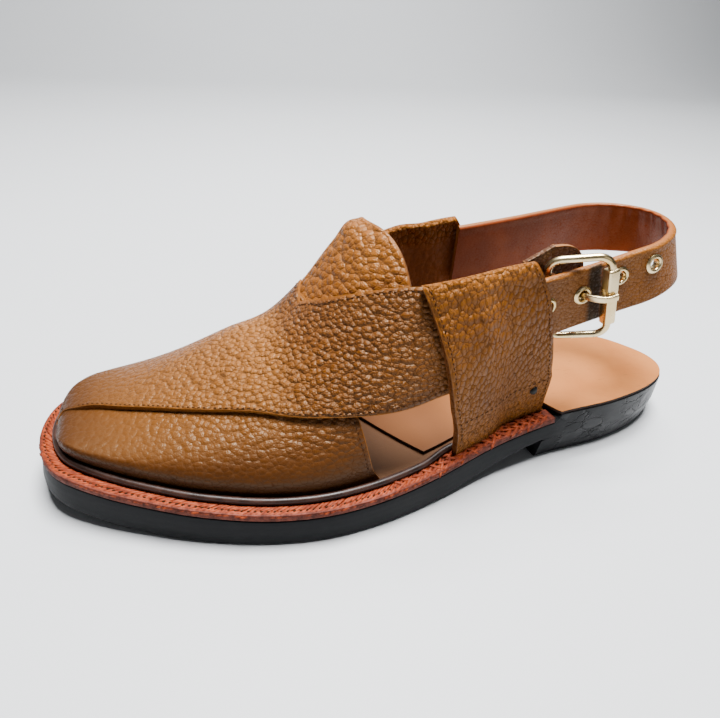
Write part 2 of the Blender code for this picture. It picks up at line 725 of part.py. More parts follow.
def buckle_point(along, across, out):
    """A point in the buckle's own frame: along the strap towards the heel, across it upward, outward."""
    cos, sin = math.cos(BUCKLE_SLOPE), math.sin(BUCKLE_SLOPE)
    x = BUCKLE_CENTRE[0] + along * cos - across * sin
    z = BUCKLE_CENTRE[1] + along * sin + across * cos
    return np.array([x, SLING_MIDDLE_Y - SLING_RADIUS - out, z])


ROLLER_OUT = ROLLER_RADIUS + ROLLER_CLEAR                     # roller bar outside the strap
BAR_OUT = -(SLING_THICK + GAP + CHAPE_LOOP_RADIUS)            # chape bar inside the strap


def frame_out(along):
    """The frame leans: its chape bar lies inside the strap and its roller bar outside."""
    return lerp(BAR_OUT, ROLLER_OUT, 0.5 + along / BUCKLE_LONG)


def build_buckle_frame():
    half_long, half_wide = BUCKLE_LONG / 2, BUCKLE_WIDE / 2
    corners = ((1, 1), (-1, 1), (-1, -1), (1, -1))
    path = []
    for i, (a, b) in enumerate(corners):
        middle = (a * (half_long - BUCKLE_CORNER), b * (half_wide - BUCKLE_CORNER))
        for angle in np.linspace(90 * i, 90 * (i + 1), 5):
            along = middle[0] + BUCKLE_CORNER * math.cos(math.radians(angle))
            across = middle[1] + BUCKLE_CORNER * math.sin(math.radians(angle))
            path.append(buckle_point(along, across, frame_out(along)))
    return wire("buckle_frame", "buckle_gold", path, BUCKLE_WIRE, cyclic=True)


def build_buckle_roller():
    start = buckle_point(BUCKLE_LONG / 2, -ROLLER_LENGTH / 2, ROLLER_OUT)
    end = buckle_point(BUCKLE_LONG / 2, ROLLER_LENGTH / 2, ROLLER_OUT)
    bore = BUCKLE_WIRE + GAP
    return ring("buckle_roller", "buckle_gold", start, end - start, bore, ROLLER_RADIUS, ROLLER_LENGTH)


def build_buckle_prong():
    """A bar hung on the chape bar: it runs inside the strap, out through an eyelet, and over the roller."""
    middle, _ = eyelet_frame(*EYELET_ROWS[1])
    across = (middle[2] - buckle_point(0.0, 0.0, 0.0)[2]) / math.cos(BUCKLE_SLOPE)
    hole = (middle[0] - BUCKLE_CENTRE[0]) / math.cos(BUCKLE_SLOPE) + across * math.tan(BUCKLE_SLOPE)
    across -= hole * math.tan(BUCKLE_SLOPE)
    inside = -(SLING_THICK + GAP + PRONG_RADIUS)
    resting = ROLLER_OUT + ROLLER_RADIUS + GAP + PRONG_RADIUS
    route = [(-BUCKLE_LONG / 2 + BUCKLE_WIRE + GAP + PRONG_RADIUS, BAR_OUT)]
    route += [(hole + behind, inside + rise) for behind, rise in PRONG_INSIDE]
    route.append((hole + PRONG_OUTSIDE[0], PRONG_OUTSIDE[1]))
    route += [(BUCKLE_LONG / 2 - PRONG_REST, resting), (BUCKLE_LONG / 2 + PRONG_TIP, resting)]
    path = [buckle_point(along, across, out) for along, out in route]
    return wire("buckle_prong", "buckle_gold", path, PRONG_RADIUS)


def build_chape():
    """A guard tab with a rounded end inside the strap, and two loops round the chape bar."""
    front, rear = CHAPE_ENDS
    middle, half = sum(CHAPE_SPAN) / 2, (CHAPE_SPAN[1] - CHAPE_SPAN[0]) / 2
    inner = BAR_OUT - BUCKLE_WIRE - GAP

    def place(a, b):
        side = math.sin(math.pi * (b - 0.5))
        reach = (rear - front) * (1 - abs(side) ** CHAPE_ROUNDING) ** (1 / CHAPE_ROUNDING)
        along = front + max(reach, (rear - front) / 2) * a
        width = half * (1 - CHAPE_TAPER * (1 - a))
        return buckle_point(along, middle + width * side, inner)

    tab = thicken(sheet("buckle_chape", "lining_brown", (5, 12), place), CHAPE_THICK, -1)
    for side in (-1, 1):
        start = buckle_point(-BUCKLE_LONG / 2, side * CHAPE_LOOP_START, BAR_OUT)
        end = buckle_point(-BUCKLE_LONG / 2, side * (CHAPE_LOOP_START + CHAPE_LOOP_LENGTH), BAR_OUT)
        loop = ring(
            f"chape_loop_{side}", "lining_brown", start, end - start,
            BUCKLE_WIRE + GAP, CHAPE_LOOP_RADIUS, CHAPE_LOOP_LENGTH,
        )
        combine(tab, loop, "UNION")
    return tab


def build_stud():
    x, height = STUD_PLACE
    t = at_height(x, height, -1)
    out = last_normal(along_last(x), t)
    foot = on_last(x, t, QUARTER_LIFT_REAR + QUARTER_THICK + GAP)
    return rod("quarter_stud", "stud_black", foot, foot + STUD_HEIGHT * out, STUD_RADIUS, segments=14)


clear_scene()
PARTS = make_collection("chappal")
CUTTERS = make_collection("cutters")
CUTTERS.hide_render = True
MATERIALS = {name: make_material(name) for name in FINISHES}
build_outsole()
build_heel()
build_welt()
build_piping()
build_insole()
build_sock()
build_upper()
build_tongue()
build_quarter("quarter_lateral", -1)
build_quarter("quarter_medial", 1)
build_sling()
build_eyelets()
build_buckle_frame()
build_buckle_roller()
build_buckle_prong()
build_chape()
build_stud()
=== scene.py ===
import math

import bmesh
import bpy
import numpy as np
from mathutils import Matrix


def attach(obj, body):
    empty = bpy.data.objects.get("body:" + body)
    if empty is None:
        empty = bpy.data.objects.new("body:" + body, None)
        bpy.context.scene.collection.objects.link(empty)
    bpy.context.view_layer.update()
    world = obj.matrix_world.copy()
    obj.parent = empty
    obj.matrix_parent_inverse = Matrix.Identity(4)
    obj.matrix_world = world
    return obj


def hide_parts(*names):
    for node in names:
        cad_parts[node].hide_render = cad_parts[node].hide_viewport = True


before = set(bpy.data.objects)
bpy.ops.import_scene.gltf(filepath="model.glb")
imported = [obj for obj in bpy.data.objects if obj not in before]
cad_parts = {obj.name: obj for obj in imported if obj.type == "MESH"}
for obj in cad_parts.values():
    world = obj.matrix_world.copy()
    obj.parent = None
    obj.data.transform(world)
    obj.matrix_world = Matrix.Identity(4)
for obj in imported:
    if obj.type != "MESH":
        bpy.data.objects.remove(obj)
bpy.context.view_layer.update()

# Outsole: a thick slab of black rubber, cut to the shoe's outline, arched under the waist and turned
# up a little at the toe. Its side is trimmed, rounded below and painted satin black; round the heel
# seat the paint has cracked and lifted, and one chip has come off.
MM = 0.001
HALF_LENGTH, TOE_SWING, AXIS_SHIFT = 146.0, 10.6, 1.2
WELT_THICK, SEAT_RISE, SEAT_FRONT = 3.2, 0.5, 62.0
SOLE_EDGE, SOLE_HEEL_EDGE, SOLE_EDGE_MOST, SOLE_TOP_EDGE, HEEL_BREAST_X = 1.4, 0.1, 0.3, 0.5, 57.0
TOE_FLARE, TOE_FLARE_ENDS = 1.0, (0.05, 0.26)
SOLE_COLUMNS = ("x", "lateral", "medial", "rim", "under")
SOLE_ROWS = np.array((
    (146.0, 0.0, 0.0, 19.8, 10.6),
    (140.2, 12.6, 14.2, 20.4, 10.7),
    (131.4, 19.4, 23.0, 21.4, 10.8),
    (116.8, 26.0, 30.0, 22.3, 10.9),
    (93.4, 31.2, 34.0, 22.6, 10.9),
    (58.4, 33.6, 31.2, 21.9, 10.4),
    (29.2, 38.4, 29.2, 19.5, 5.2),
    (0.0, 46.4, 31.6, 16.8, 0.3),
    (-29.2, 53.2, 38.5, 15.3, 0.0),
    (-46.7, 55.4, 42.8, 15.0, 0.0),
    (-64.2, 54.8, 44.8, 14.9, 0.0),
    (-87.6, 50.2, 43.8, 15.7, 0.0),
    (-111.0, 41.6, 39.6, 17.3, 1.2),
    (-128.5, 32.2, 31.4, 18.8, 3.6),
    (-140.2, 21.8, 21.4, 19.8, 6.0),
    (-146.0, 0.0, 0.0, 20.1, 7.4),
))


def lerp(start, end, share):
    return start + (end - start) * share


def ease(low, high, at):
    """0 below low, 1 above high, and a smooth step between."""
    share = np.clip((at - low) / (high - low), 0.0, 1.0)
    return share * share * (3 - 2 * share)


def smooth(knots, values, at):
    """A smooth curve through a table's values."""
    slopes = np.gradient(values, knots)
    i = np.clip(np.searchsorted(knots, at) - 1, 0, len(knots) - 2)
    step = knots[i + 1] - knots[i]
    f = (at - knots[i]) / step
    start = (1 + 2 * f) * (1 - f) ** 2 * values[i] + f * (1 - f) ** 2 * step * slopes[i]
    return start + f * f * (3 - 2 * f) * values[i + 1] + f * f * (f - 1) * step * slopes[i + 1]


def unit(vectors):
    return vectors / np.linalg.norm(vectors, axis=-1)[..., None]


def sole(x, name):
    """A column of the sole's table at places along the shoe."""
    angles = np.arccos(SOLE_ROWS[:, 0] / HALF_LENGTH)
    at = np.arccos(np.clip(x / HALF_LENGTH, -1.0, 1.0))
    return smooth(angles, SOLE_ROWS[:, SOLE_COLUMNS.index(name)], at)


def rim_point(p):
    """The sole's outline: p is 0 at the toe, -1 at the heel round the outer side, 1 round the inner."""
    p = np.where(np.abs(p) > 1, (p + 1) % 2 - 1, p)
    x = -HALF_LENGTH * np.cos(np.pi * p)
    u = np.clip(-x / HALF_LENGTH, 0.0, 1.0)
    centre = AXIS_SHIFT + TOE_SWING * u * u * (3 - 2 * u)
    return np.stack([x, centre + np.where(p < 0, -sole(x, "lateral"), sole(x, "medial"))], -1)


def inset_point(p, inset):
    """The outline moved inward by a distance."""
    step = 0.004
    along = unit(rim_point(p + step) - rim_point(p - step))
    return rim_point(p) + np.asarray(inset)[..., None] * np.stack([along[..., 1], -along[..., 0]], -1)


def place_along(x):
    """The outline's own coordinate at a place along the shoe."""
    return np.arccos(np.clip(-x / HALF_LENGTH, -1.0, 1.0)) / np.pi


def make_active(piece):
    bpy.ops.object.select_all(action="DESELECT")
    piece.select_set(True)
    bpy.context.view_layer.objects.active = piece


def laid_grid(name, along, across, place):
    """A flat grid, laid on the surface that place gives for two shares from 0 to 1."""
    bpy.ops.object.select_all(action="DESELECT")
    bpy.ops.mesh.primitive_grid_add(x_subdivisions=along, y_subdivisions=across, size=1.0)
    piece = bpy.context.object
    piece.name = piece.data.name = name
    flat = np.empty(len(piece.data.vertices) * 3)
    piece.data.vertices.foreach_get("co", flat)
    flat = flat.reshape(-1, 3) + 0.5
    piece.data.vertices.foreach_set("co", (place(flat[:, 0], flat[:, 1]) * MM).ravel())
    piece.data.update()
    return piece


def weld(piece):
    """Opens a piece for editing and merges the points that lie on one spot, as at a seam or a pole."""
    make_active(piece)
    bpy.ops.object.mode_set(mode="EDIT")
    bpy.ops.mesh.select_all(action="SELECT")
    bpy.ops.mesh.remove_doubles(threshold=1e-6)


def close_up(piece, fill=False):
    """Welds a grid laid round a solid, fills its open ends and turns its faces out."""
    weld(piece)
    bpy.ops.mesh.dissolve_degenerate(threshold=1e-7)
    if fill:
        bpy.ops.mesh.select_all(action="DESELECT")
        bpy.ops.mesh.select_non_manifold()
        bpy.ops.mesh.edge_face_add()
    bpy.ops.mesh.select_all(action="SELECT")
    bpy.ops.mesh.normals_make_consistent(inside=False)
    bpy.ops.object.mode_set(mode="OBJECT")
    return piece


def smooth_faces(piece, degrees=40):
    make_active(piece)
    bpy.ops.object.shade_smooth_by_angle(angle=math.radians(degrees))
    return piece


def settle(piece, material, slot, *nodes):
    """Gives a finished piece its material and its place in the assembly."""
    piece.data.materials.clear()
    piece.data.materials.append(material)
    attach(piece, "root")
    if nodes:
        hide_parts(*nodes)
    return piece


def node(tree, kind, inputs=(), **settings):
    """A shader node: inputs holds values or the sockets that feed it."""
    made = tree.nodes.new(kind)
    for name, value in settings.items():
        setattr(made, name, value)
    for name, value in dict(inputs).items():
        if isinstance(value, bpy.types.NodeSocket):
            tree.links.new(value, made.inputs[name])
        else:
            made.inputs[name].default_value = value
    return made


def blended(tree, share, first, second):
    """Two colours mixed by a share."""
    return node(tree, "ShaderNodeMix", {0: share, 6: first, 7: second}, data_type="RGBA").outputs[2]


def ranged(tree, value, low, high, new_low=0.0, new_high=1.0, steps="SMOOTHSTEP"):
    """A value mapped from one range to another, held at its ends."""
    inputs = {"Value": value, "From Min": low, "From Max": high, "To Min": new_low, "To Max": new_high}
    return node(tree, "ShaderNodeMapRange", inputs, interpolation_type=steps).outputs["Result"]


def maths(tree, operation, first, second):
    return node(tree, "ShaderNodeMath", {0: first, 1: second}, operation=operation).outputs[0]


def product(tree, first, *others):
    for other in others:
        first = maths(tree, "MULTIPLY", first, other)
    return first


def total(tree, first, *others):
    for other in others:
        first = maths(tree, "ADD", first, other)
    return first


def axes_of(tree, vector):
    return node(tree, "ShaderNodeSeparateXYZ", {"Vector": vector}).outputs


def scaled(tree, vector, factors):
    """Coordinates stretched along each axis."""
    return node(tree, "ShaderNodeVectorMath", {0: vector, 1: factors}, operation="MULTIPLY").outputs[0]


def noise(tree, where, scale, detail=3.0, roughness=0.55):
    inputs = {"Vector": where, "Scale": scale, "Detail": detail, "Roughness": roughness}
    return node(tree, "ShaderNodeTexNoise", inputs).outputs["Fac"]


def new_finish(name):
    """An empty material with its shader, and the coordinates that its patterns follow."""
    made = bpy.data.materials.new(name)
    made.use_nodes = True
    tree = made.node_tree
    return made, tree, tree.nodes["Principled BSDF"], tree.nodes.new("ShaderNodeTexCoord").outputs["Object"]


def feed(tree, shader, **sockets):
    """Links patterns, or sets constant values, on a shader's inputs."""
    for name, value in sockets.items():
        target = shader.inputs[name.replace("_", " ")]
        if isinstance(value, bpy.types.NodeSocket):
            tree.links.new(value, target)
        else:
            target.default_value = value


def bump(tree, shader, height, depth_mm):
    """Relief of a real depth on a shader."""
    made = node(tree, "ShaderNodeBump", {"Height": height, "Strength": 1.0, "Distance": depth_mm * MM})
    tree.links.new(made.outputs["Normal"], shader.inputs["Normal"])


# Points round one half of a section, from the middle of the underside to the middle of the top: share of
# the width, shift inward in edges, share of the height, rise in lower edges, rise in upper edges
sole_half = [
    (0.5, 0.0, 0.0, 0.0, 0.0), (0.25, 0.0, 0.0, 0.0, 0.0), (0.0, 1.0, 0.0, 0.0, 0.0),
    (0.0, 0.65, 0.0, 0.05, 0.0), (0.0, 0.32, 0.0, 0.2, 0.0), (0.0, 0.1, 0.0, 0.5, 0.0),
    (0.0, 0.0, 0.0, 1.0, 0.0), (0.0, -0.09, 0.3, 0.0, 0.0), (0.0, -0.12, 0.55, 0.0, 0.0),
    (0.0, -0.09, 0.8, 0.0, 0.0), (0.0, 0.0, 1.0, 0.0, -1.0), (0.0, 0.05, 1.0, 0.0, -0.3),
    (0.0, 0.2, 1.0, 0.0, 0.0), (0.25, 0.0, 1.0, 0.0, 0.0), (0.5, 0.0, 1.0, 0.0, 0.0),
]
sole_other = [(1.0 - w, -k, h, low, high) for w, k, h, low, high in sole_half[-2:0:-1]]
sole_outline = np.array(sole_half + sole_other + sole_half[:1])


def sole_place(a, b):
    """The outsole's surface: a runs from toe to heel, b round each section."""
    step, fore = 0.0003, 0.7
    seat = place_along(SEAT_FRONT)
    ahead, behind = lerp(0.0, seat - step, a / fore), lerp(seat + step, 1.0, (a - fore) / (1 - fore))
    p = np.where(a < fore, ahead, behind)
    w, k, h, low, high = sole_outline[np.rint(b * (len(sole_outline) - 1)).astype(int)].T
    flare = -TOE_FLARE * (1 - h) * (1 - ease(*TOE_FLARE_ENDS, p))
    lateral, medial = inset_point(-p, flare), inset_point(p, flare)
    x = lateral[:, 0]
    under = np.maximum(sole(x, "under"), 0.0)
    top = sole(x, "rim") + np.where(p > seat, SEAT_RISE, -WELT_THICK)
    edge = np.where(x > HEEL_BREAST_X + 1, SOLE_HEEL_EDGE, SOLE_EDGE)
    edge = np.minimum(edge, SOLE_EDGE_MOST * (medial[:, 1] - lateral[:, 1]))
    y = lerp(lateral[:, 1], medial[:, 1], w) + k * edge
    return np.stack([x, y, lerp(under, top, h) + low * edge + high * SOLE_TOP_EDGE], -1)


outsole = smooth_faces(close_up(laid_grid("outsole_rubber", 150, len(sole_outline) - 1, sole_place)), 50)

CHIP_PLACE, CHIP_SIZE = (0.0665, -0.0345, 0.0188), 0.0011
sole_black, tree, shader, where = new_finish("sole_black")
axes = axes_of(tree, where)
dust = noise(tree, where, 26.0, 6.0, 0.7)
seat = ranged(tree, axes["X"], 0.058, 0.072)
stretched = scaled(tree, where, (120.0, 120.0, 220.0))
warp = node(tree, "ShaderNodeTexNoise", {"Vector": stretched, "Scale": 1.2, "Detail": 2.0}).outputs["Color"]
stretched = node(tree, "ShaderNodeVectorMath", {0: stretched, 1: warp}, operation="ADD").outputs[0]
crack = node(tree, "ShaderNodeTexVoronoi", {"Vector": stretched, "Scale": 1.0}, feature="DISTANCE_TO_EDGE")
flake = node(tree, "ShaderNodeTexVoronoi", {"Vector": stretched, "Scale": 1.0}).outputs["Color"]
flake = node(tree, "ShaderNodeSeparateColor", {"Color": flake}).outputs["Red"]
patchy = ranged(tree, noise(tree, where, 60.0, 2.0), 0.42, 0.55)
split = product(tree, ranged(tree, crack.outputs["Distance"], 0.0, 0.07, 1.0, 0.0), seat, patchy)
chip = node(tree, "ShaderNodeVectorMath", {0: where, 1: CHIP_PLACE}, operation="DISTANCE").outputs["Value"]
chip = total(tree, chip, product(tree, noise(tree, where, 900.0), 0.0012), -0.0006)
chip = ranged(tree, chip, CHIP_SIZE * 0.8, CHIP_SIZE, 1.0, 0.0)
# Lighter scuffs of wear low on the side, near the floor.
wear_and_shade = product(tree, ranged(tree, dust, 0.5, 0.78), ranged(tree, axes["Z"], 0.0, 0.008, 0.5, 0.08))
tone = blended(tree, ranged(tree, dust, 0.3, 0.7), (0.0045, 0.0048, 0.0055, 1), (0.0085, 0.0090, 0.0100, 1))
tone = blended(tree, wear_and_shade, tone, (0.06, 0.06, 0.058, 1))
lifted = product(tree, seat, patchy, ranged(tree, flake, 0.45, 0.6))
tone = blended(tree, product(tree, lifted, 0.4), tone, (0.024, 0.024, 0.026, 1))
tone = blended(tree, split, tone, (0.0015, 0.0015, 0.0015, 1))
tone = blended(tree, chip, tone, (0.45, 0.43, 0.40, 1))
layer = node(tree, "ShaderNodeTexWave", {
    "Vector": where, "Scale": 110.0, "Distortion": 3.0, "Detail": 2.0, "Detail Scale": 0.6}, bands_direction="Z")
grit = product(tree, noise(tree, where, 900.0, 2.0), 0.10)
fine = total(tree, grit, product(tree, layer.outputs["Fac"], 0.03))
relief = total(tree, fine, product(tree, flake, seat, patchy, 0.9), product(tree, split, -1.2))
bump(tree, shader, relief, 0.4)
gloss = total(tree, ranged(tree, dust, 0.25, 0.8, 0.42, 0.6), product(tree, seat, -0.2))
feed(tree, shader, Base_Color=tone, Roughness=gloss, Specular_IOR_Level=0.18, IOR=1.3)
feed(tree, shader, Coat_Weight=product(tree, seat, flake, 0.12), Coat_Roughness=0.3)
settle(outsole, sole_black, "sole_black", "outsole")

# Heel: a low block of the same rubber, glued under the seat and trimmed flush with it, and painted
# with it. It leans in a little towards the floor, and its front face is cut straight.
GAP = 0.3
HEEL_TAPER, HEEL_ROUND, HEEL_FLUSH, HEEL_SEAM = 1.6, 0.7, 0.05, 0.2 * GAP
# Points round one half of a section: share of the width, shift inward in rounds, share of the height
heel_half = [
    (0.5, 0.0, 0.0), (0.0, 0.9, 0.0), (0.0, 0.3, 0.1),
    (0.0, 0.0, 0.3), (0.0, 0.0, 0.7), (0.0, 0.0, 1.0),
]
heel_other = [(1.0 - w, k, h) for w, k, h in heel_half[:0:-1]]
heel_outline = np.array(heel_half + [(0.5, 0.0, 1.0)] + heel_other + heel_half[:1])


def raised(point, height):
    return np.concatenate([point, height[:, None]], 1)


def heel_place(a, b):
    p = lerp(place_along(HEEL_BREAST_X), 1.0, a)
    w, k, h = heel_outline[np.rint(b * (len(heel_outline) - 1)).astype(int)].T
    inset = lerp(HEEL_TAPER, HEEL_FLUSH, h) + k * HEEL_ROUND
    point = lerp(inset_point(-p, inset), inset_point(p, inset), w[:, None])
    return raised(point, (sole(point[:, 0], "under") - HEEL_SEAM) * h)


heel = laid_grid("heel_block", 60, len(heel_outline) - 1, heel_place)
smooth_faces(close_up(heel, fill=True))
settle(heel, sole_black, "sole_black", "heel")

# Welt: a flat strip of orange-brown leather, sewn round the forepart on top of the sole. Narrow strands
# are plaited over its edge like a rope, and cross each other in a coarse braid at the waist. The strip
# is coloured darker than the strands, as painted shade between them.
WELT_WIDTH, WELT_EDGE = 7.2, 0.4
LOCKSTITCH_INSET, LOCKSTITCH_RISE, LOCKSTITCH_END_X = 1.75, 0.42, -16.0
# A stitch: spacing, length, thickness, skew
LOCKSTITCH = (2.3, 1.25, 0.65, 0.4)
welt_end = place_along(SEAT_FRONT - GAP)
up = np.array([0.0, 0.0, 1.0])


def welt_place(a, b):
    point = inset_point(lerp(-welt_end, welt_end, a), WELT_WIDTH * (1 - b))
    point[:, 0] = np.minimum(point[:, 0], SEAT_FRONT - GAP)
    return raised(point, sole(point[:, 0], "rim"))


def round_edges(piece, width, degrees, segments=2):
    """Rounds the edges that turn by more than an angle."""
    make_active(piece)
    rounding = piece.modifiers.new("edge", "BEVEL")
    rounding.width, rounding.segments = width * MM, segments
    rounding.limit_method, rounding.angle_limit = "ANGLE", math.radians(degrees)
    bpy.ops.object.modifier_apply(modifier="edge")
    return piece


def thicken(piece, thickness, offset, edge):
    """A wall of real thickness with its edges rounded."""
    make_active(piece)
    wall = piece.modifiers.new("wall", "SOLIDIFY")
    wall.thickness, wall.offset, wall.use_quality_normals = thickness * MM, offset, True
    bpy.ops.object.modifier_apply(modifier="wall")
    return round_edges(piece, edge, 55)


def lens(turns, rows, blunt):
    """The points and faces of a small grain that is thickest in its middle: a strand or a stitch."""
    points, faces = [(-0.5, 0.0, 0.0)], []
    for i in range(1, rows):
        swell = 0.5 * math.sin(math.pi * i / rows) ** blunt
        for j in range(turns):
            angle = 2 * math.pi * j / turns
            points.append((i / rows - 0.5, swell * math.cos(angle), swell * math.sin(angle)))
    points.append((0.5, 0.0, 0.0))
    end = len(points) - 1
    for j in range(turns):
        k = (j + 1) % turns
        faces += [(0, 1 + k, 1 + j), (end, end - turns + j, end - turns + k)]
        for first in range(1, end - turns, turns):
            faces.append((first + j, first + k, first + turns + k, first + turns + j))
    return np.array(points), faces


def scattered(name, shape, places):
    """Copies of a small shape in one mesh: each place is a middle and three directions with their sizes."""
    points, faces = shape
    spots = [middle + points @ np.array(axes) for middle, axes in places]
    shells = [tuple(v + i * len(points) for v in face) for i in range(len(spots)) for face in faces]
    mesh = bpy.data.meshes.new(name)
    mesh.from_pydata((np.concatenate(spots) * MM).tolist(), [], shells)
    mesh.shade_smooth()
    piece = bpy.data.objects.new(name, mesh)
    bpy.context.scene.collection.objects.link(piece)
    return close_up(piece)


def run_along(points, spacing):
    """Evenly spaced places on a path, each with its direction."""
    run = np.concatenate([[0.0], np.cumsum(np.linalg.norm(np.diff(points[:, :3], axis=0), axis=1))])

    def read(at):
        return np.stack([np.interp(at, run, points[:, i]) for i in range(points.shape[1])], 1)

    at = np.arange(spacing / 2, run[-1], spacing)
    return read(at), unit(read(at + 0.2)[:, :3] - read(at - 0.2)[:, :3])


# Rows of strands: inset and drop from the rim, lean outward, slant, length, width, height, spacing, x range
BRAID_ROWS = (
    (1.0, 0.40, 0.55, 0.40, 6.2, 1.9, 1.2, 2.1, -150.0, 10.0),
    (3.3, -0.10, 0.05, 0.50, 6.4, 1.45, 1.1, 1.9, -150.0, -16.0),
    (1.4, 0.15, 0.45, 0.55, 8.2, 1.8, 1.5, 4.0, -22.0, 56.0),
    (2.6, -0.35, 0.25, -0.60, 8.4, 1.7, 1.4, 4.4, -20.0, 56.0),
    (4.2, -0.10, 0.10, 0.62, 8.4, 1.8, 1.5, 4.2, -18.0, 56.0),
    (5.6, -0.30, 0.00, -0.58, 7.6, 1.7, 1.4, 4.6, 2.0, 56.0),
)
BRAID_LOOSE, BRAID_TURN, BRAID_SHIFT, BRAID_SIZES = 2.2, 0.08, 0.12, (0.9, 1.12)
draw = np.random.default_rng(7)
p = np.linspace(-welt_end, welt_end, 900)
strands = []
for inset, drop, lean, slant, length, width, height, step, first_x, end_x in BRAID_ROWS:
    path = inset_point(p, np.full_like(p, inset))
    path = raised(path, sole(path[:, 0], "rim") - drop)
    for middle, along in zip(*run_along(path, step)):
        if not first_x < middle[0] < end_x:
            continue
        inward = np.cross(along, up)
        out = math.cos(lean) * up - math.sin(lean) * inward
        loose = BRAID_LOOSE if first_x > -100 else 1.0
        turn = slant + loose * draw.normal(0.0, BRAID_TURN)
        lie = math.cos(turn) * along + math.sin(turn) * np.cross(out, along)
        sizes = np.array([length, width, height]) * draw.uniform(*BRAID_SIZES, 3)
        middle = middle + loose * draw.normal(0.0, BRAID_SHIFT) * inward
        strands.append((middle, (lie * sizes[0], np.cross(out, lie) * sizes[1], out * sizes[2])))
welt = smooth_faces(thicken(laid_grid("welt_strip", 320, 6, welt_place), WELT_THICK - GAP, -1, WELT_EDGE))
braid = scattered("welt_braid", lens(6, 5, 0.7), strands)


def welt_finish(name, dark, light):
    made, tree, shader, where = new_finish(name)
    fibre = noise(tree, where, 420.0, 4.0, 0.65)
    stain = noise(tree, where, 75.0, 3.0)
    tone = blended(tree, ranged(tree, fibre, 0.32, 0.68), dark, light)
    tone = blended(tree, ranged(tree, stain, 0.56, 0.72, 0.0, 0.6), tone, (0.07, 0.010, 0.004, 1))
    feed(tree, shader, Base_Color=tone, Roughness=ranged(tree, fibre, 0.3, 0.7, 0.75, 0.55))
    feed(tree, shader, Specular_IOR_Level=0.2)
    bump(tree, shader, noise(tree, where, 1400.0, 3.0), 0.12)
    return made


welt_orange = welt_finish("welt_orange", (0.10, 0.012, 0.002, 1), (0.23, 0.036, 0.006, 1))
# A darker copy of the welt's leather for the strip, as painted shade between the strands.
welt_shaded_strip = welt_finish("welt_shaded_strip", (0.045, 0.007, 0.002, 1), (0.13, 0.019, 0.005, 1))
settle(welt, welt_shaded_strip, "welt_orange", "welt")
settle(braid, welt_orange, "welt_orange")


def stitched(name, path, lifts, spacing, length, thick, skew=0.0):
    """A row of stitches along a path. lifts gives the outward direction at the path's points."""
    places = []
    for spot, lie in zip(*run_along(np.concatenate([path, lifts], 1), spacing)):
        out = unit(spot[3:])
        lie = unit(lie + skew * np.cross(out, lie))
        places.append((spot[:3], (lie * length, np.cross(out, lie) * thick, out * thick)))
    return scattered(name, lens(6, 4, 0.5), places)


p = p[np.abs(p) < place_along(LOCKSTITCH_END_X)]
path = inset_point(p, np.full_like(p, LOCKSTITCH_INSET))
path = raised(path, sole(path[:, 0], "rim") + LOCKSTITCH_RISE)
lockstitch = stitched("welt_lockstitch", path, np.tile(up, (len(path), 1)), *LOCKSTITCH)
thread_dark, tree, shader, where = new_finish("thread_dark")
ply = noise(tree, where, 900.0)
tone = blended(tree, ply, (0.012, 0.005, 0.002, 1), (0.04, 0.014, 0.004, 1))
feed(tree, shader, Base_Color=tone, Roughness=0.8, Specular_IOR_Level=0.1)
settle(lockstitch, thread_dark, "welt_orange")

# Insole: a pale board of raw vegetable-tanned leather inside the welt. Over its rear part and the heel
# seat lies a thin sock with a dark cut edge, which starts in a slanting line inside the windows. Both
# are darker in front, inside the windows, partly worn by the foot and partly painted shade.
INSOLE_INSET, INSOLE_TOP, INSOLE_END_X, INSOLE_EDGE = WELT_WIDTH + GAP, 0.5, 58.0, 0.2
SOCK_THICK, SOCK_EDGE, SOCK_REAR_INSET, SOCK_WAIST_INSET = 1.4, 0.25, 0.5, 11.2
SOCK_FRONT_X, SOCK_SLANT, SOCK_WIDENS = -19.0, 0.42, (60.2, 65.0)


def insole_place(a, b):
    p = place_along(INSOLE_END_X) * a
    inset = np.full_like(p, INSOLE_INSET)
    point = lerp(inset_point(-p, inset), inset_point(p, inset), b[:, None])
    return raised(point, sole(point[:, 0], "rim") + INSOLE_TOP)


def sock_place(a, b):
    half = np.full_like(a, 0.5)
    across = lerp(rim_point(-half)[:, 1], rim_point(half)[:, 1], b)
    p = lerp(place_along(SOCK_FRONT_X - SOCK_SLANT * across), 1.0, a)
    inset = lerp(SOCK_WAIST_INSET, SOCK_REAR_INSET, ease(*SOCK_WIDENS, rim_point(p)[:, 0]))
    point = lerp(inset_point(-p, inset), inset_point(p, inset), b[:, None])
    return raised(point, sole(point[:, 0], "rim") + INSOLE_TOP + GAP + SOCK_THICK)


edge_brown = (0.022, 0.009, 0.005, 1)


def facing_up(tree):
    """1 on a level top, 0 on an upright side."""
    return axes_of(tree, node(tree, "ShaderNodeNewGeometry").outputs["Normal"])["Z"]


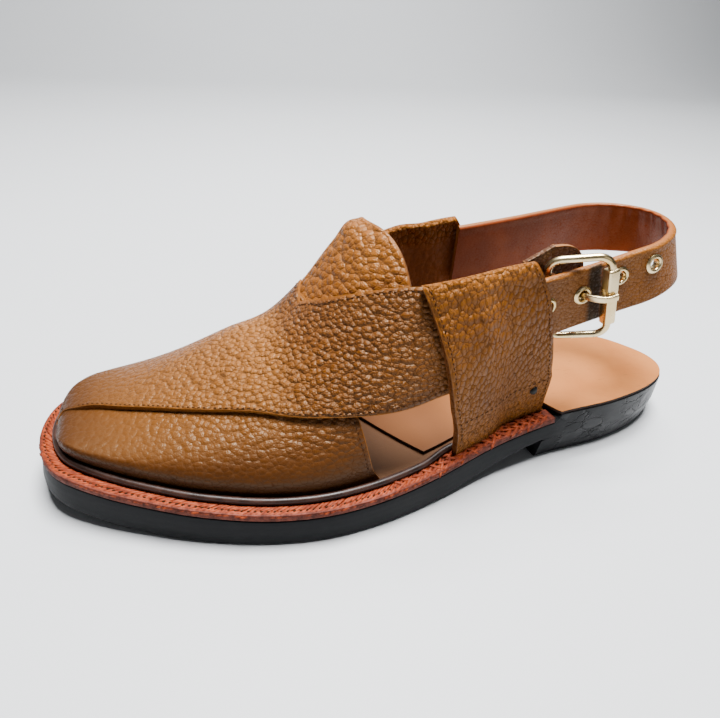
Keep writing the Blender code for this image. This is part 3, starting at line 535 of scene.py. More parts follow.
def insole_finish(name, tones, specks):
    """Raw leather with clouds and scratches, dark at its cut edge, and darker in front inside the shoe: partly
    wear, partly painted shade.
    """
    dark, light, wear_and_shade = tones
    made, tree, shader, where = new_finish(name)
    cloud = noise(tree, where, 22.0, 5.0, 0.6)
    dots = node(tree, "ShaderNodeTexVoronoi", {"Vector": where, "Scale": 420.0}).outputs["Distance"]
    rare = ranged(tree, noise(tree, where, 90.0, 2.0), 0.52, 0.6)
    dots = product(tree, ranged(tree, dots, 0.12, 0.22, 1.0, 0.0), rare, specks)
    long_grain = scaled(tree, where, (90.0, 900.0, 900.0))
    scratch = ranged(tree, noise(tree, long_grain, 1.0, 1.0), 0.70, 0.76, 0.0, 0.35)
    tone = blended(tree, ranged(tree, cloud, 0.35, 0.68), dark, light)
    # Darker in front, inside the windows: partly wear, partly painted shade.
    tone = blended(tree, ranged(tree, axes_of(tree, where)["X"], 0.006, 0.052, 1.0, 0.0), tone, wear_and_shade)
    tone = blended(tree, scratch, tone, (0.10, 0.036, 0.011, 1))
    tone = blended(tree, dots, tone, (0.06, 0.026, 0.012, 1))
    tone = blended(tree, ranged(tree, facing_up(tree), 0.4, 0.8), edge_brown, tone)
    feed(tree, shader, Base_Color=tone, Roughness=ranged(tree, cloud, 0.3, 0.7, 0.72, 0.6))
    feed(tree, shader, Specular_IOR_Level=0.15)
    bump(tree, shader, noise(tree, where, 1500.0, 2.0), 0.05)
    return made


board = laid_grid("insole_board", 90, 24, insole_place)
smooth_faces(thicken(close_up(board), INSOLE_TOP + WELT_THICK - GAP, -1, INSOLE_EDGE))
sock = laid_grid("insole_sock_leather", 240, 36, sock_place)
smooth_faces(thicken(close_up(sock), SOCK_THICK, -1, SOCK_EDGE))
# Tones of each: dark and light body, and its darker front, partly wear and partly painted shade.
board_tones = ((0.32, 0.148, 0.055, 1), (0.43, 0.22, 0.09, 1), (0.066, 0.027, 0.0090, 1))
sock_tones = ((0.27, 0.088, 0.018, 1), (0.32, 0.114, 0.027, 1), (0.095, 0.031, 0.0065, 1))
raw_board = insole_finish("insole_board", board_tones, 0.9)
insole_tan = insole_finish("insole_tan", sock_tones, 0.0)
settle(board, raw_board, "insole_tan", "insole")
settle(sock, insole_tan, "insole_tan", "insole_sock")

# Under strap: one of two mirror-image straps of pebbled leather that cross on the instep. It is drawn
# over the last from the tip and the outer side of the toe, passes below the other strap, and ends in the
# inner quarter. Its rear edge is stitched, and its foot is burnished smooth above the piping. Its colour
# is painted darker towards the foot, partly burnish and partly painted shade, and lighter on top as a
# painted highlight.
LAST_COLUMNS = (
    "x", "ridge", "offset", "lateral_bulge", "medial_bulge",
    "lateral_widest", "medial_widest", "lateral_full", "medial_full",
)
LAST_ROWS = np.array((
    (-138.4, 20.4, 10.0, 1.7, 1.7, 7.0, 7.0, 2.15, 2.10),
    (-136.6, 24.4, 10.1, 1.7, 1.7, 7.0, 7.0, 2.15, 2.00),
    (-133.0, 26.4, 10.3, 1.8, 1.8, 7.0, 7.0, 2.10, 1.90),
    (-126.0, 28.0, 10.8, 1.9, 1.9, 7.0, 7.0, 2.00, 1.80),
    (-112.0, 31.4, 12.0, 2.0, 2.0, 7.0, 7.0, 1.85, 1.72),
    (-92.0, 39.4, 14.0, 1.8, 1.8, 7.0, 7.5, 1.65, 1.75),
    (-70.0, 49.8, 15.5, 1.5, 1.8, 7.0, 8.0, 1.50, 1.82),
    (-50.0, 60.0, 16.5, 1.2, 2.0, 7.0, 10.0, 1.50, 1.85),
    (-38.0, 73.0, 16.5, 0.8, 2.6, 7.0, 13.0, 1.50, 1.95),
    (-26.0, 89.6, 15.5, 0.4, 3.6, 7.0, 17.0, 1.60, 2.05),
    (-14.0, 101.5, 13.5, 0.2, 5.0, 8.0, 22.0, 1.90, 2.15),
    (0.0, 107.0, 11.0, 0.8, 6.6, 14.0, 28.0, 2.40, 2.40),
    (30.0, 108.5, 6.0, 3.0, 9.0, 30.0, 34.0, 3.20, 3.20),
    (66.0, 109.0, 3.0, 3.6, 6.5, 34.0, 36.0, 3.60, 3.60),
))
FEATHER_INSET, FEATHER_MEDIAL, FEATHER_RAMP, FEATHER_RISE = 9.8, 1.6, (0.067, 0.233), 0.7
TURN, TOE_ZONE, TIP_SHARE = math.radians(25), 24.0, 0.05
LAST_START = LAST_ROWS[0, 0]
LAST_SPAN = LAST_ROWS[-1, 0] - LAST_START
LAST_U = np.sqrt((LAST_ROWS[:, 0] - LAST_START) / LAST_SPAN)


def feather_side(side, more):
    """The x and y of one side of the last's lower edge, from toe to heel."""
    places = np.linspace(0.0, 1.0, 161)
    return inset_point(side * places, FEATHER_INSET + np.interp(places, FEATHER_RAMP, (0.0, more))).T


feather = {-1: feather_side(-1, 0.0), 1: feather_side(1, FEATHER_MEDIAL)}


def along_last(x):
    """The last's own length coordinate, spaced so that the toe comes out round."""
    return np.sqrt(np.maximum(x - LAST_START, 0.0) / LAST_SPAN)


def last_point(u, t):
    """Points of the last: u runs from toe to heel, t from -1 (outer feather line) over 0 (ridge) to 1."""
    x = LAST_START + LAST_SPAN * u * u
    outer = t < 0
    row = {name: smooth(LAST_U, LAST_ROWS[:, i], u) for i, name in enumerate(LAST_COLUMNS)}
    bulge = np.where(outer, row["lateral_bulge"], row["medial_bulge"])
    full = np.where(outer, row["lateral_full"], row["medial_full"])
    wide_at = np.where(outer, row["lateral_widest"], row["medial_widest"])
    tip = np.minimum(1.0, u / TIP_SHARE)
    toe_share = np.maximum(0.0, 1 - (x - LAST_START) / TOE_ZONE)
    ridge_y = row["offset"] + AXIS_SHIFT
    reach = x + bulge * toe_share
    edge = np.where(outer, np.interp(reach, *feather[-1]), np.interp(reach, *feather[1]))
    width = (np.abs(edge - ridge_y) + bulge) * tip
    low = sole(x, "rim") + FEATHER_RISE
    widest = low + np.minimum(wide_at, row["ridge"] - low) * tip
    angle = np.abs(t) * (math.pi / 2 + TURN)
    upper, below = np.minimum(angle, math.pi / 2), np.maximum(angle - math.pi / 2, 0.0)
    tucked = bulge * ease(0.0, TURN, below)
    out = width * np.sin(upper) ** (2 / full) - tucked * tip
    high = widest + (row["ridge"] - widest) * np.maximum(np.cos(upper), 0.0) ** (2 / full)
    high = high - (widest - low) * np.sin(below) / math.sin(TURN)
    return np.stack([x + tucked * toe_share, ridge_y + np.where(outer, -out, out), high], -1)


def last_normal(u, t):
    """The outward direction of the last's surface, level where the wall turns in below."""
    step = 0.004
    u = np.maximum(u, 2 * step)
    along = last_point(np.minimum(u + step, 1.0), t) - last_point(u - step, t)
    over = last_point(u, np.minimum(t + step, 1.0)) - last_point(u, np.maximum(t - step, -1.0))
    normal = np.cross(along, over)
    normal[..., 2] = np.maximum(normal[..., 2], 0.0)
    return unit(normal)


def on_last(x, t, lift):
    """Points that lie a distance off the last's surface."""
    u = along_last(x)
    return last_point(u, t) + np.asarray(lift)[..., None] * last_normal(u, t)


UNDER_STRAP_ROWS = np.array((
    (0.00, -138.4, -1.00, -24.5, -1.00),
    (0.14, -138.4, -0.70, -30.8, -0.64),
    (0.28, -138.4, 0.00, -36.5, -0.36),
    (0.36, -138.4, 0.42, -39.5, -0.16),
    (0.42, -134.5, 0.56, -42.0, 0.02),
    (0.56, -122.0, 0.63, -35.2, 0.195),
    (0.68, -96.0, 0.66, -27.2, 0.265),
    (0.80, -62.0, 0.62, -18.8, 0.315),
    (0.91, -24.0, 0.61, -7.7, 0.41),
    (1.00, 7.0, 0.725, 2.5, 0.52),
))
NOTCH, NOTCH_SINK, NOTCH_LOWEST, NOTCH_WIDE, NOTCH_EDGE = 0.42, 0.9, 0.37, 0.11, (0.55, 1.0)
UNDER_THICK, STITCH, STITCH_RISE = 1.8, (2.1, 1.25, 0.42), 0.05
OVER_SETTLES, OVER_TOE = (0.72, 0.92), (LAST_START, -124.0)


def strap_surface(rows, r, s, lift):
    """Points of a strap: r runs from its front to its rear edge, s from its toe end to its quarter end."""
    fore, aft = rows[rows[:, 0] <= NOTCH], rows[rows[:, 0] >= NOTCH]
    front = [smooth(rows[:, 0], rows[:, i], s) for i in (1, 2)]
    rear = [
        np.where(s <= NOTCH, smooth(fore[:, 0], fore[:, i], s), smooth(aft[:, 0], aft[:, i], s))
        for i in (3, 4)
    ]
    x, t = [lerp(ahead, behind, r) for ahead, behind in zip(front, rear)]
    t = np.clip(t, -1.0, 1.0)
    sunk = NOTCH_SINK * np.exp(-((s - NOTCH_LOWEST) / NOTCH_WIDE) ** 2) * ease(*NOTCH_EDGE, r)
    lift = lift * (1 - ease(*OVER_SETTLES, t)) * ease(*OVER_TOE, x) * (1 - sunk)
    return on_last(np.maximum(x, LAST_START), t, lift)


def under_place(a, b):
    return strap_surface(UNDER_STRAP_ROWS, a, b, 0.0)


def keep(piece, name, values):
    """Stores a value at each point of a piece, for its material."""
    piece.data.attributes.new(name, "FLOAT", "POINT").data.foreach_set("value", values.astype(np.float32))
    return piece


def mark_rim(piece, along, across, place):
    """Stores how far each point lies from the front and rear edges, in millimetres."""
    a, b = [part.ravel() for part in np.meshgrid(np.linspace(0, 1, along + 1), np.linspace(0, 1, across + 1))]
    width = np.linalg.norm(place(np.ones_like(a), b) - place(np.zeros_like(a), b), axis=1)
    return keep(piece, "rim_mm", np.minimum(a, 1 - a) * np.maximum(width, 1.0))


def cut_leather(name, along, across, place, thickness, offset, edge=0.5):
    """A piece of leather laid on a surface, with its wall and rounded cut edges."""
    piece = mark_rim(laid_grid(name, along, across, place), along, across, place)
    weld(piece)
    bpy.ops.object.mode_set(mode="OBJECT")
    return smooth_faces(thicken(piece, thickness, offset, edge), 45)


pebble = bpy.data.node_groups.new("pebble_grain", "ShaderNodeTree")
for label, kind, way in (
    ("Vector", "NodeSocketVector", "INPUT"), ("Cells", "NodeSocketFloat", "INPUT"),
    ("Height", "NodeSocketFloat", "OUTPUT"), ("Crease", "NodeSocketFloat", "OUTPUT"),
    ("Cell", "NodeSocketFloat", "OUTPUT"),
):
    pebble.interface.new_socket(label, in_out=way, socket_type=kind)
enter, leave = pebble.nodes.new("NodeGroupInput").outputs, pebble.nodes.new("NodeGroupOutput").inputs
drift = node(pebble, "ShaderNodeTexNoise", {
    "Vector": enter["Vector"], "Scale": product(pebble, enter["Cells"], 0.6), "Detail": 2.0})
shift = node(pebble, "ShaderNodeVectorMath", {
    0: drift.outputs["Color"], 1: (0.5, 0.5, 0.5)}, operation="SUBTRACT")
shift = node(pebble, "ShaderNodeVectorMath", {
    0: shift.outputs[0], "Scale": maths(pebble, "DIVIDE", 0.6, enter["Cells"])}, operation="SCALE")
moved = node(pebble, "ShaderNodeVectorMath", {
    0: enter["Vector"], 1: shift.outputs[0]}, operation="ADD").outputs[0]
borders = []
for share in (1.0, 2.4):
    borders.append(node(pebble, "ShaderNodeTexVoronoi", {
        "Vector": moved, "Scale": product(pebble, enter["Cells"], share), "Randomness": 0.9,
    }, feature="DISTANCE_TO_EDGE").outputs["Distance"])
own = node(pebble, "ShaderNodeTexVoronoi", {"Vector": moved, "Scale": enter["Cells"], "Randomness": 0.9})
dome = product(pebble, own.outputs["Distance"], own.outputs["Distance"])
dome = ranged(pebble, dome, 0.0, 0.62, 1.0, 0.0, "LINEAR")
own = node(pebble, "ShaderNodeSeparateColor", {"Color": own.outputs["Color"]}).outputs["Red"]
wrinkle = ranged(pebble, borders[1], 0.0, 0.25)
grit = noise(pebble, enter["Vector"], 2600.0, 2.0)
height = total(pebble, product(pebble, dome, 0.86), product(pebble, wrinkle, 0.10), product(pebble, grit, 0.04))
pebble.links.new(height, leave["Height"])
pebble.links.new(ranged(pebble, borders[0], 0.0, 0.08, 1.0, 0.0), leave["Crease"])
pebble.links.new(own, leave["Cell"])


def leather_finish(name, tones, cells, depth_mm, stretch=(0.82, 0.95, 1.1), burnish_and_painted_light=False, shine=0.3):
    """Pebbled leather with creases painted dark, partly their own colour and partly painted shade, and its
    own cut edge. With burnish and painted light: smooth and dark at the toe, painted darker towards the
    foot, partly burnish and partly painted shade, and painted lighter on top as a painted highlight."""
    dark, mid, light, edge = tones
    made, tree, shader, where = new_finish(name)
    grain = node(tree, "ShaderNodeGroup", node_tree=pebble)
    tree.links.new(scaled(tree, where, stretch), grain.inputs["Vector"])
    grain.inputs["Cells"].default_value = cells
    grain = grain.outputs
    axes = axes_of(tree, where)
    patch = noise(tree, where, 34.0, 4.0, 0.6)
    rim = node(tree, "ShaderNodeAttribute", attribute_name="rim_mm").outputs["Fac"]
    strength = ranged(tree, rim, 0.2, 1.4, 0.15, 1.0)
    tone = blended(tree, ranged(tree, patch, 0.3, 0.7), mid, light)
    if burnish_and_painted_light:
        toe = ranged(tree, axes["X"], -0.136, -0.100, 0.7, 1.0)
        foot = ranged(tree, axes["Z"], 0.024, 0.052, 0.13, 1.0)
        strength = product(tree, strength, toe, foot)
        # Painted highlight: upward-facing parts are painted lighter.
        tone = blended(tree, ranged(tree, facing_up(tree), 0.66, 0.95, 0.0, 0.82), tone, (0.25, 0.092, 0.018, 1))
        # Darker towards the foot: partly burnish, partly painted shade.
        tone = blended(tree, ranged(tree, axes["Z"], 0.018, 0.066, 0.80, 0.0), tone, dark)
        tone = blended(tree, ranged(tree, axes["X"], -0.140, -0.108, 0.6, 0.0), tone, dark)
    tone = blended(tree, product(tree, ranged(tree, grain["Cell"], 0.2, 1.0), strength, 0.35), tone, light)
    # Creases painted darker: partly the grain's own colour, partly painted shade.
    tone = blended(tree, product(tree, grain["Crease"], strength, 0.6), tone, dark)
    tone = blended(tree, ranged(tree, rim, 0.1, 0.4, 0.8, 0.0), tone, edge)
    gloss = ranged(tree, grain["Crease"], 0.0, 0.8, 0.41, 0.85)
    feed(tree, shader, Base_Color=tone, Roughness=gloss)
    feed(tree, shader, Specular_Tint=(1.0, 0.80, 0.55, 1), Specular_IOR_Level=shine)
    bump(tree, shader, product(tree, grain["Height"], strength), depth_mm)
    return made


# Tones of a leather: its creases, its body from dark to light, its cut edge
shaded_strap_tones = (
    (0.017, 0.0043, 0.0006, 1), (0.079, 0.0222, 0.0017, 1), (0.114, 0.0348, 0.0036, 1), (0.17, 0.058, 0.008, 1),
)
# The straps take a darker copy of the leather's tones, as painted shade; the lighter copy below is painted
# light.
strap_leather = leather_finish("upper_tan", shaded_strap_tones, 480.0, 1.2, burnish_and_painted_light=True, shine=0.26)
under_strap = cut_leather("under_strap", 80, 150, under_place, UNDER_THICK, 1)
settle(under_strap, strap_leather, "upper_tan", "upper")


def seam_on(place, lift, a, b):
    """A path on a surface and the outward direction along it."""
    step = 0.003
    over_a = place(np.minimum(a + step, 1), b) - place(np.maximum(a - step, 0), b)
    over_b = place(a, np.minimum(b + step, 1)) - place(a, np.maximum(b - step, 0))
    out = unit(np.cross(over_a, over_b))
    return place(a, b) + lift * out, out


def edge_seam(name, place, lift, rear, low, high, inset=1.9):
    """Stitches that follow the front or rear edge of a piece at a distance."""
    b = np.linspace(low, high, 400)
    width = np.linalg.norm(place(np.ones_like(b), b) - place(np.zeros_like(b), b), axis=1)
    share = inset / np.maximum(width, 4.0)
    path, out = seam_on(place, lift, 1 - share if rear else share, b)
    return settle(stitched(name, path, out, *STITCH), thread_dark, "upper_tan")


edge_seam("under_strap_stitches", under_place, UNDER_THICK + STITCH_RISE, True, 0.02, 0.39)
edge_seam("under_strap_arm_stitches", under_place, UNDER_THICK + STITCH_RISE, True, 0.45, 0.98)

# Over strap: the mirror image of the under strap, drawn from the tip and the inner side of the toe over
# the ridge to the outer quarter. It lies on the under strap, and stitches follow each of its edges.
OVER_LIFT, OVER_THICK = 2.0, 2.0
OVER_STRAP_ROWS = np.array((
    (0.00, -138.4, 1.00, -24.0, 1.00),
    (0.14, -138.4, 0.66, -30.5, 0.66),
    (0.28, -137.6, 0.24, -36.5, 0.30),
    (0.36, -130.0, 0.02, -39.5, 0.06),
    (0.42, -121.5, -0.08, -42.0, -0.11),
    (0.56, -103.0, -0.25, -35.2, -0.195),
    (0.68, -86.0, -0.35, -27.2, -0.265),
    (0.80, -60.0, -0.445, -18.8, -0.315),
    (0.91, -24.0, -0.595, -7.7, -0.372),
    (1.00, 7.0, -0.725, 2.5, -0.425),
))


def over_place(a, b):
    return strap_surface(OVER_STRAP_ROWS, a, 1 - b, OVER_LIFT)


over_strap = cut_leather("over_strap", 80, 150, over_place, OVER_THICK, 1)
settle(over_strap, strap_leather, "upper_tan")
edge_seam("over_strap_front_stitches", over_place, OVER_THICK + STITCH_RISE, False, 0.02, 0.655)
edge_seam("over_strap_rear_stitches", over_place, OVER_THICK + STITCH_RISE, True, 0.02, 0.565)
edge_seam("over_strap_arm_stitches", over_place, OVER_THICK + STITCH_RISE, True, 0.61, 0.98)

# Tongue: a soft peak of the same leather below the crossing, sewn to the straps from inside. Its rear
# edge is cut in a rounded peak and left raw.
TONGUE_PEAK_X, TONGUE_SIDE_X, TONGUE_PEAK_T, TONGUE_SIDE_T, TONGUE_FRONT_X = -16.5, -10.0, 0.17, 0.42, -66.0
TONGUE_THICK, TONGUE_DROP, TONGUE_SWELL, TONGUE_SWELL_T, TONGUE_BARE = 1.6, 0.6, 2.4, 0.27, (-54.0, -36.0)
TONGUE_LEAN, TONGUE_CREST, TONGUE_CREST_X, TONGUE_CREST_LONG = 0.12, 1.5, -21.5, 3.0
TONGUE_TIP_DROP, TONGUE_TIP_ENDS, TONGUE_TIP_T = 1.6, (-20.0, -16.5), 0.14


def tongue_place(a, b):
    t = lerp(-TONGUE_SIDE_T, TONGUE_SIDE_T, b)
    off_peak = np.where(t > 0, np.maximum(t - TONGUE_LEAN, 0.0), t)
    rear = lerp(TONGUE_SIDE_X, TONGUE_PEAK_X, np.exp(-(off_peak / TONGUE_PEAK_T) ** 2))
    x = lerp(TONGUE_FRONT_X, rear, a)
    swell = TONGUE_SWELL * ease(*TONGUE_BARE, x) * np.exp(-(t / TONGUE_SWELL_T) ** 4)
    crest = TONGUE_CREST * np.exp(-((x - TONGUE_CREST_X) / TONGUE_CREST_LONG) ** 2)
    tip = crest - TONGUE_TIP_DROP * ease(*TONGUE_TIP_ENDS, x)
    swell = swell + tip * np.exp(-(t / TONGUE_TIP_T) ** 2)
    return on_last(x, t, swell - TONGUE_DROP)


# A lighter copy of the same leather's tones, as painted light, used on the quarters, the tongue and the sling
# strap.
lit_leather_tones = (
    (0.024, 0.0066, 0.0010, 1), (0.138, 0.0418, 0.0042, 1), (0.190, 0.063, 0.0084, 1), (0.06, 0.020, 0.005, 1),
)
upper_leather = leather_finish("upper_leather", lit_leather_tones, 350.0, 0.95)
tongue = cut_leather("tongue_leather", 80, 90, tongue_place, TONGUE_THICK, -1, 0.45)
settle(tongue, upper_leather, "upper_tan", "tongue")

# Piping: a round cord wrapped in dark brown leather, laid in the corner between the straps and the welt.
# It is polished, and its ends are tucked under the front edges of the quarters.
PIPING_RADIUS, PIPING_INSET, PIPING_END_X = 1.35, 5.3, 12.0
PIPING_TOE, PIPING_TOE_ENDS, PIPING_TUCK, PIPING_TUCK_ENDS = 0.8, (0.08, 0.3), 2.2, (-6.0, 9.0)


def rounded_section(half_wide, half_high, squareness=2.0, turns=16):
    """Points round a bar's section, from an ellipse to a rounded oblong."""
    angle = 2 * math.pi * np.arange(turns + 1) / turns
    cos, sin = np.cos(angle), np.sin(angle)
    wide = half_wide * np.sign(cos) * np.abs(cos) ** (2 / squareness)
    return np.stack([wide, half_high * np.sign(sin) * np.abs(sin) ** (2 / squareness)], 1)


def swept(name, path, section, side, closed=False):
    """A bar along a path. side is the direction of the section's width at the path's start."""
    count = len(path)
    steps = np.roll(path, -1, 0) - np.roll(path, 1, 0)
    if not closed:
        steps[0], steps[-1] = path[1] - path[0], path[-1] - path[-2]
    along = unit(steps)
    sides = []
    for direction in along:
        side = unit(side - (side @ direction) * direction)
        sides.append(side)
    sides = np.array(sides)
    others = np.cross(along, sides)
    turns, cells = len(section) - 1, count if closed else count - 1

    def place(a, b):
        index = np.rint(a * cells).astype(int) % count
        wide, high = section[np.rint(b * turns).astype(int)].T
        return path[index] + wide[:, None] * sides[index] + high[:, None] * others[index]

    return smooth_faces(close_up(laid_grid(name, cells, turns, place), fill=not closed), 50)


p = np.linspace(-place_along(PIPING_END_X), place_along(PIPING_END_X), 260)
inset = PIPING_INSET + PIPING_TOE * (1 - ease(*PIPING_TOE_ENDS, np.abs(p)))
path = inset_point(p, inset + PIPING_TUCK * ease(*PIPING_TUCK_ENDS, rim_point(p)[:, 0]))
path = raised(path, sole(path[:, 0], "rim") + INSOLE_TOP + PIPING_RADIUS)
piping = swept("piping_cord", path, rounded_section(PIPING_RADIUS, PIPING_RADIUS), up)
piping_brown, tree, shader, where = new_finish("piping_brown")
streak = noise(tree, where, 160.0, 4.0, 0.6)
tone = blended(tree, ranged(tree, streak, 0.3, 0.7), (0.009, 0.0033, 0.0019, 1), (0.030, 0.0100, 0.0052, 1))
feed(tree, shader, Base_Color=tone, Roughness=ranged(tree, streak, 0.3, 0.75, 0.36, 0.5))
feed(tree, shader, Specular_IOR_Level=0.3)
bump(tree, shader, noise(tree, where, 700.0, 3.0), 0.05)
settle(piping, piping_brown, "piping_brown", "piping")

# Quarters: two upright leather panels that hold the strap ends. Each is folded over at its top edge and
# stitched along its front, rear and lower edges. The inner faces are brown flesh side. A small black
# rivet with three lobes pins the foot of the outer one.
QUARTER_ROWS = np.array((
    (0.00, 9.6, 0.0, 58.6, 58.6, 0.0),
    (0.12, 6.6, 25.0, 57.2, 57.2, 31.0),
    (0.36, 2.0, 44.0, 53.6, 53.0, 48.0),
    (0.60, -1.7, 63.0, 48.6, 47.0, 65.0),
    (0.80, -4.2, 75.0, 42.8, 40.0, 81.0),
    (1.00, -6.8, 85.4, 34.4, 31.0, 93.6),
))
QUARTER_BOW, QUARTER_THICK, QUARTER_FOLD, QUARTER_FOLD_SHARES = 1.3, 2.6, 1.3, (0.84, 0.95)
QUARTER_LIFT_FRONT, QUARTER_LIFT_REAR, QUARTER_LIFT_SHARES = 4.0, 0.7, (0.30, 0.62)
QUARTER_ALONG, QUARTER_RISE, QUARTER_TOP = 70, 44, 8
QUARTER_ROUND, QUARTER_EDGE, QUARTER_FLESH = 0.023, 0.45, (0.58, 0.62)
FOOT_SEAM, FOOT_SEAM_ENDS, FOOT_STITCH = 0.205, (0.06, 0.94), (2.6, 1.6, 0.5)
QUARTER_AROUND = 2 * QUARTER_RISE + QUARTER_TOP


def at_height(x, height, side):
    """The t of the places on one side of the last that lie at a height."""
    u = along_last(x)
    low, high = np.zeros_like(x), np.ones_like(x)
    for _ in range(24):
        middle = (low + high) / 2
        above = last_point(u, side * middle)[:, 2] > height
        low, high = np.where(above, middle, low), np.where(above, high, middle)
    return side * (low + high) / 2


def quarter_surface(side, a, v, depth):
    """Points of a quarter: a runs from front to rear, v from bottom to top, depth 0 is the inner face."""
    columns = (1, 2, 3 if side < 0 else 4, 5)
    front_x, front_z, rear_x, rear_z = [smooth(QUARTER_ROWS[:, 0], QUARTER_ROWS[:, i], v) for i in columns]
    x = lerp(front_x, rear_x, a)
    height = lerp(front_z, rear_z, a) + QUARTER_BOW * 4 * a * (1 - a) * v
    lift = lerp(QUARTER_LIFT_FRONT, QUARTER_LIFT_REAR, ease(*QUARTER_LIFT_SHARES, a))
    fold = QUARTER_FOLD * ease(*QUARTER_FOLD_SHARES, v)
    return on_last(x, at_height(x, height, side), lift + depth * (QUARTER_THICK + fold))


def quarter_place(side):
    """Up the outer face, over the rounded fold, and down the inner face."""
    def place(a, b):
        index = np.rint(b * QUARTER_AROUND)
        turn = np.clip((index - QUARTER_RISE) / QUARTER_TOP, 0.0, 1.0) * math.pi
        rise = np.minimum(np.minimum(index, QUARTER_AROUND - index) / QUARTER_RISE, 1.0)
        v = np.clip(rise * (1 - QUARTER_ROUND) + QUARTER_ROUND * np.sin(turn), 0.0, 1.0)
        return quarter_surface(side, a, v, 0.5 + 0.5 * np.cos(turn))

    return place


def close_folded(panel, along, around):
    """Closes the front, rear and lower edges of a sheet that is folded over in the middle."""
    grid = np.arange((along + 1) * (around + 1)).reshape(around + 1, along + 1)
    shell = bmesh.new()
    shell.from_mesh(panel.data)
    shell.verts.ensure_lookup_table()
    rings = [(grid[0, i], grid[0, i + 1], grid[around, i + 1], grid[around, i]) for i in range(along)]
    for column in (0, along):
        for i in range(around // 2):
            ring = (grid[i, column], grid[i + 1, column], grid[around - i - 1, column], grid[around - i, column])
            rings.append(tuple(dict.fromkeys(ring)))
    for ring in rings:
        shell.faces.new([shell.verts[i] for i in ring])
    shell.to_mesh(panel.data)
    shell.free()
    return close_up(panel)


quarter_leather = leather_finish("quarter_leather", lit_leather_tones, 450.0, 1.3, (1.1, 1.0, 0.75), shine=0.18)
tree = quarter_leather.node_tree
shader = tree.nodes["Principled BSDF"]
flesh = node(tree, "ShaderNodeAttribute", attribute_name="flesh").outputs["Fac"]
where = tree.nodes["Texture Coordinate"].outputs["Object"]
nap = blended(tree, noise(tree, where, 700.0, 3.0), (0.085, 0.027, 0.008, 1), (0.21, 0.070, 0.020, 1))
outer_tone = shader.inputs["Base Color"].links[0].from_socket
feed(tree, shader, Base_Color=blended(tree, flesh, outer_tone, nap))
relief = tree.nodes["Bump"].inputs["Height"]
tree.links.new(product(tree, relief.links[0].from_socket, ranged(tree, flesh, 0.0, 1.0, 1.0, 0.25)), relief)
for label, side in (("quarter_lateral", -1), ("quarter_medial", 1)):
    place = quarter_place(side)
    panel = laid_grid(label + "_panel", QUARTER_ALONG, QUARTER_AROUND, place)
    mark_rim(panel, QUARTER_ALONG, QUARTER_AROUND, place)
    inner = ease(*QUARTER_FLESH, np.linspace(0, 1, QUARTER_AROUND + 1))
    keep(panel, "flesh", np.repeat(inner, QUARTER_ALONG + 1))
    round_edges(close_folded(panel, QUARTER_ALONG, QUARTER_AROUND), QUARTER_EDGE, 60)
    settle(smooth_faces(panel, 45), quarter_leather, "upper_tan", label)

    def outer_face(a, b, side=side):
        return quarter_surface(side, a if side < 0 else 1 - a, b, np.ones_like(a))

    edge_seam(label + "_front_stitches", outer_face, STITCH_RISE, side > 0, 0.10, 0.98)
    edge_seam(label + "_rear_stitches", outer_face, STITCH_RISE, side < 0, 0.12, 0.98)
    a = np.linspace(*FOOT_SEAM_ENDS, 300)
    path, out = seam_on(outer_face, STITCH_RISE, a, np.full_like(a, FOOT_SEAM))
    settle(stitched(label + "_foot_stitches", path, out, *FOOT_STITCH), thread_dark, "upper_tan")

STUD_PLACE, STUD_RADIUS, STUD_LOBE = (47.9, 36.5), 1.9, 0.10


def turned(name, middle, axis, profile, turns=36, lobe=0.0):
    """A piece turned on an axis: profile holds radius and height along the axis."""
    side = unit(np.cross(axis, up))
    above = np.cross(side, axis)
    profile = np.array(profile)
    if profile[0, 0] > 0:
        profile = np.concatenate([profile, profile[:1]])

    def place(a, b):
        angle = 2 * math.pi * np.rint(a * turns) / turns
        r, h = profile[np.rint(b * (len(profile) - 1)).astype(int)].T
        r = r * (1 + lobe * np.cos(3 * angle))
        around = np.cos(angle)[:, None] * side + np.sin(angle)[:, None] * above
        return middle + r[:, None] * around + h[:, None] * axis

    return smooth_faces(close_up(laid_grid(name, turns, len(profile) - 1, place)), 50)


x, height = [np.array([value]) for value in STUD_PLACE]
t = at_height(x, height, -1)
foot = on_last(x, t, np.array([QUARTER_LIFT_REAR + QUARTER_THICK]))[0]
out = last_normal(along_last(x), t)[0]
profile = [(0.0, 0.0), (1.0, 0.0), (1.0, 0.35), (0.85, 0.75), (0.5, 1.05), (0.0, 1.2)]
stud = turned("quarter_stud_head", foot, out, [(r * STUD_RADIUS, h) for r, h in profile], 30, STUD_LOBE)
stud_black, tree, shader, where = new_finish("stud_black")
tone = blended(tree, noise(tree, where, 500.0), (0.003, 0.003, 0.003, 1), (0.012, 0.011, 0.010, 1))
feed(tree, shader, Base_Color=tone, Roughness=ranged(tree, noise(tree, where, 700.0), 0.3, 0.7, 0.5, 0.65))
feed(tree, shader, Specular_IOR_Level=0.2)
settle(stud, stud_black, "stud_black", "quarter_stud")

